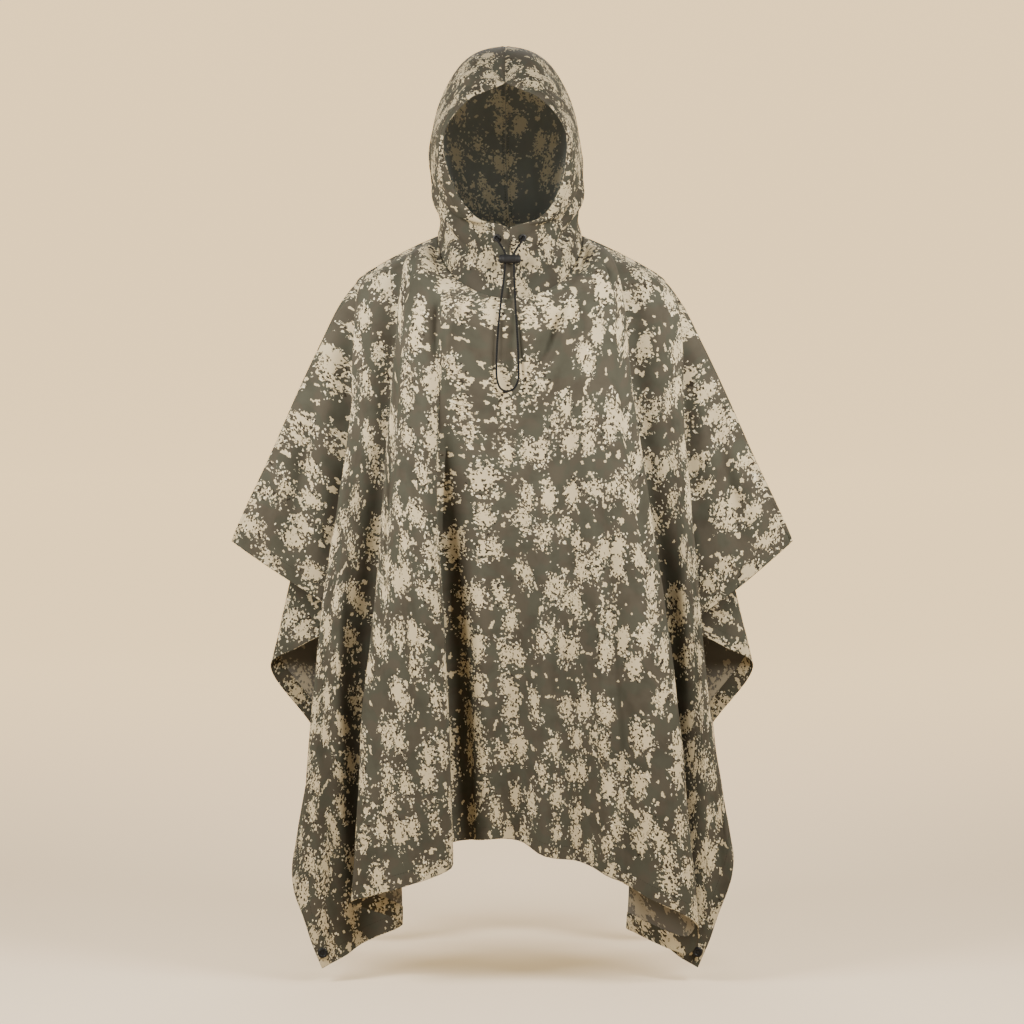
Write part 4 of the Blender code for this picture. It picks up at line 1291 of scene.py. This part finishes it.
def add_stitches(name, runs):
    """Small pointed stitches along all the runs, as one piece."""
    middles, ways, normals = (np.concatenate(field) for field in zip(*runs))
    across = unit(np.cross(normals, ways), (1, 0, 0))
    sides = STITCH_SIDES
    angles = np.arange(sides) * math.tau / sides
    shape = [(-STITCH_LENGTH / 2, 0, -STITCH_SINK)]
    for place in (-STITCH_SHOULDER, STITCH_SHOULDER):
        shape += [(place * STITCH_LENGTH, THREAD_RADIUS * math.cos(a), THREAD_RADIUS * math.sin(a))
                  for a in angles]
    shape = np.array(shape + [(STITCH_LENGTH / 2, 0, -STITCH_SINK)])
    ring = [(1 + k, 1 + (k + 1) % sides) for k in range(sides)]
    faces = [(0, b, a) for a, b in ring]
    faces += [(a, b, sides + b, sides + a) for a, b in ring]
    faces += [(1 + 2 * sides, sides + a, sides + b) for a, b in ring]
    points = (middles[:, None] + ways[:, None] * shape[None, :, :1]
              + across[:, None] * shape[None, :, 1:2] + normals[:, None] * shape[None, :, 2:])
    everything = [tuple(k + n * len(shape) for k in face)
                  for n in range(len(middles)) for face in faces]
    mesh = bpy.data.meshes.new(name)
    mesh.from_pydata((points.reshape(-1, 3) * MM).tolist(), [], everything)
    return hand_in(add_piece(name, mesh, [thread_finish()]), "camouflage_cloth")


def placed(piece, place, axis, roll=0.0):
    """Puts a piece that stands on the origin at a place, along an axis, in its mesh."""
    turn = Vector(axis).to_track_quat("Z", "Y").to_matrix().to_4x4()
    piece.data.transform(Matrix.Translation(place) @ turn @ Matrix.Rotation(roll, 4, "Z"))
    return piece


def turned(name, profile, finish):
    """A turned piece standing on the origin: a disc, extruded and scaled ring by ring."""
    segments = bpy.context.scene.poncho_fittings.segments
    bpy.ops.object.select_all(action="DESELECT")
    radius, height = profile[0]
    bpy.ops.mesh.primitive_circle_add(
        vertices=segments, radius=radius * MM, fill_type="NGON", location=(0, 0, height * MM))
    piece = bpy.context.object
    bpy.ops.object.transform_apply(location=True)
    piece.name = piece.data.name = name
    bpy.ops.object.mode_set(mode="EDIT")
    bpy.ops.mesh.select_mode(type="FACE")
    bpy.ops.mesh.select_all(action="SELECT")
    for wide, high in profile[1:]:
        bpy.ops.mesh.extrude_region_move(
            TRANSFORM_OT_translate={"value": (0, 0, (high - height) * MM)})
        share = wide / radius
        bpy.ops.transform.resize(value=(share, share, 1), center_override=(0, 0, high * MM))
        radius, height = wide, high
    leave_closed()
    piece.data.materials.append(finish)
    bpy.ops.object.shade_smooth_by_angle(angle=FITTING_EDGE)
    return piece


def node_centre(node):
    """The middle of a node's box."""
    low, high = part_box(node)
    return (low + high) / 2


# ---------------------------------------------------------------------------------------------
# Operators

class PONCHO_OT_stage(bpy.types.Operator):
    """Adds the floor, the lights and the camera"""

    bl_idname = "poncho.stage"
    bl_label = "Stage"

    def execute(self, context):
        self.add_camera(context)
        self.add_backdrop(context)
        self.add_lights(context)
        return {"FINISHED"}

    def add_camera(self, context):
        away = Vector((0, -math.cos(CAMERA_RISE), math.sin(CAMERA_RISE)))
        bpy.ops.object.camera_add(
            location=CAMERA_TARGET + away * CAMERA_DISTANCE,
            rotation=away.to_track_quat("Z", "Y").to_euler())
        camera = context.object
        camera.name = "camera"
        camera.data.sensor_width = SENSOR_WIDTH
        camera.data.lens = SENSOR_WIDTH * CAMERA_DISTANCE / VIEW_WIDTH
        camera.data.clip_end = CLIP_END
        context.scene.camera = camera

    def add_backdrop(self, context):
        bpy.ops.object.select_all(action="DESELECT")
        bpy.ops.mesh.primitive_plane_add(size=BACKDROP_SIZE, location=(0, BACKDROP_Y, FLOOR_Z))
        floor = context.object
        floor.name = floor.data.name = "backdrop"
        bpy.ops.object.transform_apply(location=True)
        bpy.ops.object.mode_set(mode="EDIT")
        select_edges(floor.data, lambda place: place.y > FAR_EDGE_Y)
        bpy.ops.mesh.select_mode(type="EDGE")
        bpy.ops.mesh.extrude_region_move(TRANSFORM_OT_translate={"value": (0, 0, BACKDROP_RISE)})
        select_edges(
            floor.data, lambda place: abs(place.z - FLOOR_Z) < 0.01 and place.y > FAR_EDGE_Y)
        bpy.ops.mesh.bevel(offset=BACKDROP_BEND, segments=BEND_STEPS)
        bpy.ops.object.mode_set(mode="OBJECT")
        floor.data.shade_smooth()
        finish = Finish("backdrop_paper", Roughness=0.95, Specular_IOR_Level=0.1)
        at = finish.place()
        stage = context.scene.poncho_stage
        tone = finish.noise(at, 1.2, 2.0)
        finish.colour(finish.mix(tone, stage.backdrop, scaled(stage.backdrop, 1.04)))
        depth = finish.node("ShaderNodeSeparateXYZ", {}, {"Vector": at}, 1)
        far = finish.soft_step(depth, *GLOW_DEPTHS)
        finish.set(finish.shader.inputs["Emission Color"],
                   finish.mix(far, scaled(stage.glow, FLOOR_GLOW), stage.glow))
        finish.set(finish.shader.inputs["Emission Strength"], 1.0)
        floor.data.materials.append(finish.material)

    def add_lights(self, context):
        stage = context.scene.poncho_stage
        for name, place, size, setting in LIGHTS:
            aim = (Vector(place) - LIGHT_AIM).to_track_quat("Z", "Y").to_euler()
            bpy.ops.object.light_add(type="AREA", location=place, rotation=aim)
            light = context.object
            light.name = name
            light.data.size = size
            light.data.energy = getattr(stage, setting)
            light.data.color = LIGHT_COLOUR
        world = bpy.data.worlds.new("soft_room")
        world.use_nodes = True
        sky = world.node_tree.nodes["Background"]
        sky.inputs["Color"].default_value = SKY_COLOUR
        sky.inputs["Strength"].default_value = stage.ambient
        context.scene.world = world


class PONCHO_OT_drawcord(bpy.types.Operator):
    """Adds the drawcord with its two strands through the cord lock and its loop below"""

    bl_idname = "poncho.drawcord"
    bl_label = "Drawcord"

    def execute(self, context):
        route = smooth(CORD_ROUTE, np.linspace(0, len(CORD_ROUTE) - 1, 20 * len(CORD_ROUTE)))
        length = lengths_along(route)[-1]
        middles = along(route, np.linspace(0, 1, int(length / CORD_STEP)))
        ways = unit(np.gradient(middles, axis=0))
        points, cut = [], []
        across = unit(np.cross(ways[0], (0, 1, 0)))
        run = lengths_along(middles)
        angles = np.linspace(0, math.tau, CORD_SIDES + 1)
        for middle, way, place in zip(middles, ways, run):
            across = unit(across - way * (across @ way))
            up = np.cross(way, across)
            points.append([middle + CORD_RADIUS * (across * math.cos(a) + up * math.sin(a))
                           for a in angles])
            cut.append([(a / math.tau, place * MM) for a in angles])
        cord = add_grid("drawcord_braid", np.array(points), np.array(cut), [cord_finish()])
        select_only(cord)
        bpy.ops.object.mode_set(mode="EDIT")
        bpy.ops.mesh.select_all(action="SELECT")
        bpy.ops.mesh.region_to_loop()
        bpy.ops.mesh.edge_face_add()
        leave_closed()
        hand_in(cord, "black_cord", "drawcord")
        return {"FINISHED"}


class PONCHO_OT_cord_lock(bpy.types.Operator):
    """Adds the cord lock: a waisted barrel with a bore for each strand"""

    bl_idname = "poncho.cord_lock"
    bl_label = "Cord lock"

    def execute(self, context):
        half = [(wide * LOCK_RADIUS, high * LOCK_LENGTH / 2) for wide, high in LOCK_OUTLINE]
        profile = [(wide, -high) for wide, high in half[::-1]]
        profile += [(LOCK_WAIST * LOCK_RADIUS, 0)] + half
        lock = turned("cord_lock_barrel", profile, plastic_finish())
        centre = node_centre("cord_lock")
        placed(lock, centre, (1, 0, 0))
        for side in (-1, 1):
            bpy.ops.object.select_all(action="DESELECT")
            bpy.ops.mesh.primitive_cylinder_add(
                vertices=LOCK_BORE_SIDES, radius=LOCK_BORE_RADIUS * MM, depth=4 * LOCK_RADIUS * MM,
                location=centre + Vector((side * LOCK_BORE_SPACING / 2 * MM, 0, 0)))
            bore = context.object
            cut = lock.modifiers.new("bore", "BOOLEAN")
            cut.object = bore
            cut.solver = "EXACT"
            select_only(lock)
            bpy.ops.object.modifier_apply(modifier=cut.name)
            bpy.data.objects.remove(bore)
        bpy.ops.object.shade_smooth_by_angle(angle=LOCK_EDGE)
        hand_in(lock, "black_plastic", "cord_lock")
        return {"FINISHED"}


class PONCHO_OT_panels(bpy.types.Operator):
    """Adds the front and back panels"""

    bl_idname = "poncho.panels"
    bl_label = "Panels"

    def execute(self, context):
        thickness = context.scene.poncho_cloth.thickness
        for face, word in FACES:
            surface = panel_surface(face)
            cut = surface.cut * MM * (1, face)
            panel = add_grid(f"{word}_cloth", surface.points, cut,
                             [cloth_finish(OUTSIDE), cloth_finish(REVERSE)], flipped=face > 0)
            thicken(panel, thickness, reverse=1)
            hand_in(panel, "camouflage_cloth", f"{word}_panel")
        return {"FINISHED"}


class PONCHO_OT_hems(bpy.types.Operator):
    """Adds the turned hem round the border of each panel"""

    bl_idname = "poncho.hems"
    bl_label = "Hems"

    def execute(self, context):
        wall = context.scene.poncho_cloth.thickness / MM
        for face, word in FACES:
            surface = panel_surface(face)
            points, normals, cut = cross_line(surface, border_shares(surface, 0))
            inner, _, _ = cross_line(surface, border_shares(surface, HEM_ROWS[1]))
            away = unit(points - inner, (0, 0, -1))
            rows = [points + normals * (wall + TURN_CLEARANCE),
                    points + normals * wall / 2 + away * HEM_ROUND[0],
                    points - normals * HEM_DROP * TURN_DROP + away * HEM_ROUND[1]]
            cuts = [cut, cut, cut]
            for distance in HEM_ROWS:
                points, normals, cut = cross_line(surface, border_shares(surface, distance))
                rows.append(points - normals * HEM_DROP)
                cuts.append(cut)
            cuts = np.stack(cuts, 1) * MM * (1, face) + HEM_PRINT_SHIFT
            hem = add_grid(f"{word}_hem", np.stack(rows, 1), cuts, [cloth_finish(OUTSIDE)],
                           flipped=face < 0)
            thicken(hem, HEM_THICKNESS * MM, offset=-1)
            hand_in(hem, "camouflage_cloth")
        return {"FINISHED"}


class PONCHO_OT_hood(bpy.types.Operator):
    """Adds the two halves of the hood"""

    bl_idname = "poncho.hood"
    bl_label = "Hood"

    def execute(self, context):
        thickness = context.scene.poncho_cloth.thickness
        for side, word in SIDES:
            surface = hood_surface(side)
            centre = np.array(node_centre(f"eyelet_{word}")) / MM
            hole = np.linalg.norm(surface.points - centre, axis=2) < EYELET_HOLE_RADIUS
            # The outside takes the darker hood print, which is painted shade. The inside takes the
            # lightened print, which is painted fill light.
            half = add_grid(f"hood_{word}_cloth", surface.points, surface.cut,
                            [cloth_finish(HOOD_OUTSIDE), cloth_finish(HOOD_INSIDE)],
                            flipped=side < 0, dropped=hole)
            thicken(half, thickness, reverse=1)
            hand_in(half, "camouflage_cloth", f"hood_{word}")
            flat = surface.cut.reshape(-1, 2)
            size = flat.max(0) - flat.min(0)
        self.add_seam()
        return {"FINISHED"}

    def add_seam(self):
        """The seam's turnings, felled flat over the inside of the centre seam."""
        points, cuts = [], []
        for row in range(HOOD_ROWS):
            line, lay = [], []
            for side in (-1, 1):
                surface = hood_surface(side)
                skin = surface.points[row] - surface.normals[row] * FELL_INSET
                reach = lengths_along(skin[::-1])
                if reach[-1] < 3 * FELL_PLACES[0]:
                    break
                line += list(read_off(FELL_PLACES[::-side], reach, skin[::-1]))
                lay += list(read_off(FELL_PLACES[::-side], reach, surface.cut[row, ::-1]))
            else:
                points.append(line)
                cuts.append(lay)
        # The strip takes the lightened print of the hood's inside, which is painted fill light.
        strip = add_grid("crown_seam_strip", np.array(points), np.array(cuts),
                         [cloth_finish(HOOD_INSIDE)])
        thicken(strip, HEM_THICKNESS * MM, offset=-1)
        hand_in(strip, "camouflage_cloth")

    def area(self, surface):
        """The area of the skin, in square metres."""
        across, up = np.diff(surface.points, axis=1), np.diff(surface.points, axis=0)
        cells = np.linalg.norm(np.cross(across[:-1], up[:, :-1]), axis=2)
        return float(cells.sum() * MM * MM)


class PONCHO_OT_casing(bpy.types.Operator):
    """Adds the casing that the face edge is turned back into"""

    bl_idname = "poncho.casing"
    bl_label = "Casing"

    def execute(self, context):
        wall = context.scene.poncho_cloth.thickness / MM
        outer, _ = hood_ring(0, wall + TURN_CLEARANCE)
        middle, _ = hood_ring(0, wall / 2)
        under, _ = hood_ring(0, -CASING_INSET * TURN_DROP)
        away = unit(middle - hood_ring(CASING_AWAY, wall / 2)[0], (0, -1, 0))
        rows = [outer, middle + away * CASING_ROUND[0], under + away * CASING_ROUND[1]]
        rows += [hood_ring(width, -CASING_INSET)[0] for width in CASING_ROWS]
        widths = (0, 0, 0) + CASING_ROWS
        cut = np.array([[(place * MM, CASING_PRINT_PLACE + width * MM) for width in widths]
                        for place in lengths_along(face_edge())])
        # The casing takes the hood's darker print, which is painted shade.
        casing = add_grid("face_casing_cloth", np.stack(rows, 1), cut,
                          [cloth_finish(HOOD_OUTSIDE)], closed=True)
        thicken(casing, CASING_THICKNESS * MM, offset=0)
        hand_in(casing, "camouflage_cloth", "face_casing")
        return {"FINISHED"}


class PONCHO_OT_stitches(bpy.types.Operator):
    """Adds the stitches of the hems, the neck seam, the shoulders and the hood"""

    bl_idname = "poncho.stitches"
    bl_label = "Stitches"

    def execute(self, context):
        wall = context.scene.poncho_cloth.thickness / MM + THREAD_CLEARANCE
        for face, word in FACES:
            surface = panel_surface(face)
            runs = []
            points, normals, _ = cross_line(surface, border_shares(surface, HEM_STITCH))
            runs.append(stitch_runs(points + normals * wall, normals))
            for distance in (HEM_STITCH, HEM_EDGE_STITCH):
                points, normals, _ = cross_line(surface, border_shares(surface, distance))
                under = points - normals * (HEM_DROP + INNER_CLEARANCE["hem"])
                runs.append(stitch_runs(under, -normals))
            runs += self.seam_runs(surface, wall)
            add_stitches(f"{word}_stitches", runs)
        runs = []
        points, normals = hood_ring(CASING_STITCH, wall)
        runs.append(stitch_runs(points, normals, closed=True))
        points, normals = hood_ring(CASING_STITCH, -CASING_INSET - INNER_CLEARANCE["casing"])
        runs.append(stitch_runs(points, -normals, closed=True))
        for side in (-1, 1):
            runs += self.crown_runs(hood_surface(side), wall)
        add_stitches("hood_stitches", runs)
        return {"FINISHED"}

    def seam_runs(self, surface, wall):
        """Topstitches just below the neckline and beside the shoulder line."""
        top = surface.cut[:, 0]
        length = np.linalg.norm(surface.cut[:, -1] - top, axis=1)
        points, normals, _ = cross_line(surface, np.clip(TOPSTITCH / np.maximum(length, 1), 0, 1))
        neck = np.abs(top[:, 0]) <= NECK_HALF_WIDTH
        shoulders = (np.abs(top[:, 0]) >= NECK_HALF_WIDTH) & (length > 3 * HEM_WIDTH)
        runs = []
        for chosen in (neck, shoulders & (top[:, 0] < 0), shoulders & (top[:, 0] > 0)):
            runs.append(stitch_runs(points[chosen] + normals[chosen] * wall, normals[chosen]))
        return runs

    def crown_runs(self, surface, wall):
        """Topstitches beside the centre seam, over the crown and down the back."""
        back = surface.points[:, HOOD_COLUMNS // 2:]
        normals = surface.normals[:, HOOD_COLUMNS // 2:]
        line, ways = [], []
        for row, facing in zip(back, normals):
            reach = lengths_along(row[::-1])
            if reach[-1] > 2 * CROWN_STITCH:
                line.append(read_off(CROWN_STITCH, reach, row[::-1]))
                ways.append(read_off(CROWN_STITCH, reach, facing[::-1]))
        line, ways = np.array(line), unit(np.array(ways))
        inner = line - ways * (FELL_INSET + INNER_CLEARANCE["crown"])
        return [stitch_runs(line + ways * wall, ways), stitch_runs(inner, -ways)]


class PONCHO_OT_eyelets(bpy.types.Operator):
    """Adds the two eyelets that the drawcord comes out of"""

    bl_idname = "poncho.eyelets"
    bl_label = "Eyelets"

    def execute(self, context):
        for side, word in SIDES:
            grid = hood_points(side, (EYELET_RIB, EYELET_RIB + 0.1), (EYELET_TURN, EYELET_TURN + 0.05))
            normal = np.cross(side * (grid[0, 1] - grid[0, 0]), grid[1, 0] - grid[0, 0])
            eyelet = self.ring(f"eyelet_{word}_ring")
            placed(eyelet, node_centre(f"eyelet_{word}"), normal)
            hand_in(eyelet, "black_metal", f"eyelet_{word}")
        return {"FINISHED"}

    def ring(self, name):
        """A flange with a rolled rim and a neck, spun from two small loops."""
        segments = bpy.context.scene.poncho_fittings.segments
        bpy.ops.object.select_all(action="DESELECT")
        middle = (EYELET_FLANGE_RADIUS + EYELET_BORE_RADIUS) / 2
        wide = (EYELET_FLANGE_RADIUS - EYELET_BORE_RADIUS) / 2
        bpy.ops.mesh.primitive_circle_add(
            vertices=EYELET_FLANGE_SIDES, radius=wide * MM,
            location=(middle * MM, 0, EYELET_FLANGE_HEIGHT * MM),
            rotation=(math.pi / 2, 0, 0))
        ring = bpy.context.object
        ring.name = ring.data.name = name
        bpy.ops.object.transform_apply(location=True, rotation=True)
        bpy.ops.object.mode_set(mode="EDIT")
        bpy.ops.mesh.select_all(action="SELECT")
        share = 0.5 * EYELET_RISE / wide
        bpy.ops.transform.resize(
            value=(1, 1, share), center_override=(0, 0, EYELET_FLANGE_HEIGHT * MM))
        neck_place = (EYELET_BORE_RADIUS + EYELET_NECK_RADIUS, 0, EYELET_NECK_HEIGHT)
        bpy.ops.mesh.primitive_circle_add(
            vertices=EYELET_NECK_SIDES, radius=EYELET_NECK_RADIUS * MM,
            location=Vector(neck_place) * MM, rotation=(math.pi / 2, 0, 0))
        bpy.ops.transform.resize(value=(1, 1, EYELET_NECK_STRETCH),
                                 center_override=(0, 0, EYELET_NECK_HEIGHT * MM))
        bpy.ops.mesh.select_all(action="SELECT")
        bpy.ops.mesh.spin(steps=segments, angle=math.tau, center=(0, 0, 0), axis=(0, 0, 1))
        bpy.ops.mesh.select_all(action="SELECT")
        bpy.ops.mesh.remove_doubles(threshold=0.00001)
        leave_closed()
        ring.data.materials.append(metal_finish())
        bpy.ops.object.shade_smooth_by_angle(angle=FITTING_EDGE)
        return ring


class PONCHO_OT_studs(bpy.types.Operator):
    """Adds a press stud at each of the four corners"""

    bl_idname = "poncho.studs"
    bl_label = "Press studs"

    def execute(self, context):
        profile = [(wide * STUD_RADIUS, high * STUD_RISE) for wide, high in STUD_OUTLINE]
        for face, word in FACES:
            surface = panel_surface(face)
            for side in ("left", "right"):
                node = f"stud_{word}_{side}"
                centre = node_centre(node)
                gap = np.linalg.norm(surface.points - np.array(centre) / MM, axis=2)
                column, row = np.unravel_index(np.argmin(gap), gap.shape)
                stud = turned(f"{node}_cap", profile, metal_finish())
                placed(stud, centre, surface.normals[column, row])
                hand_in(stud, "black_metal", node)
        return {"FINISHED"}


class PONCHO_PT_panel(bpy.types.Panel):
    """Lists the pieces of the poncho and their settings"""

    bl_label = "Rain Poncho"
    bl_idname = "PONCHO_PT_panel"
    bl_space_type = "VIEW_3D"
    bl_region_type = "UI"
    bl_category = "Poncho"

    def draw(self, context):
        for settings in (context.scene.poncho_cloth, context.scene.poncho_fittings,
                         context.scene.poncho_stage):
            box = self.layout.box()
            for name in settings.__annotations__:
                box.prop(settings, name)
        for operator in OPERATORS:
            self.layout.operator(operator.bl_idname)


OPERATORS = (
    PONCHO_OT_stage,
    PONCHO_OT_cord_lock,
    PONCHO_OT_drawcord,
    PONCHO_OT_hems,
    PONCHO_OT_panels,
    PONCHO_OT_hood,
    PONCHO_OT_casing,
    PONCHO_OT_stitches,
    PONCHO_OT_eyelets,
    PONCHO_OT_studs,
)
CLASSES = (ClothSettings, FittingSettings, StageSettings) + OPERATORS + (PONCHO_PT_panel,)


def register():
    for cls in CLASSES:
        bpy.utils.register_class(cls)
    bpy.types.Scene.poncho_cloth = bpy.props.PointerProperty(type=ClothSettings)
    bpy.types.Scene.poncho_fittings = bpy.props.PointerProperty(type=FittingSettings)
    bpy.types.Scene.poncho_stage = bpy.props.PointerProperty(type=StageSettings)


def unregister():
    del bpy.types.Scene.poncho_stage
    del bpy.types.Scene.poncho_fittings
    del bpy.types.Scene.poncho_cloth
    for cls in reversed(CLASSES):
        bpy.utils.unregister_class(cls)


def main():
    register()
    for operator in OPERATORS:
        group, name = operator.bl_idname.split(".")
        getattr(getattr(bpy.ops, group), name)()


if __name__ == "__main__":
    main()
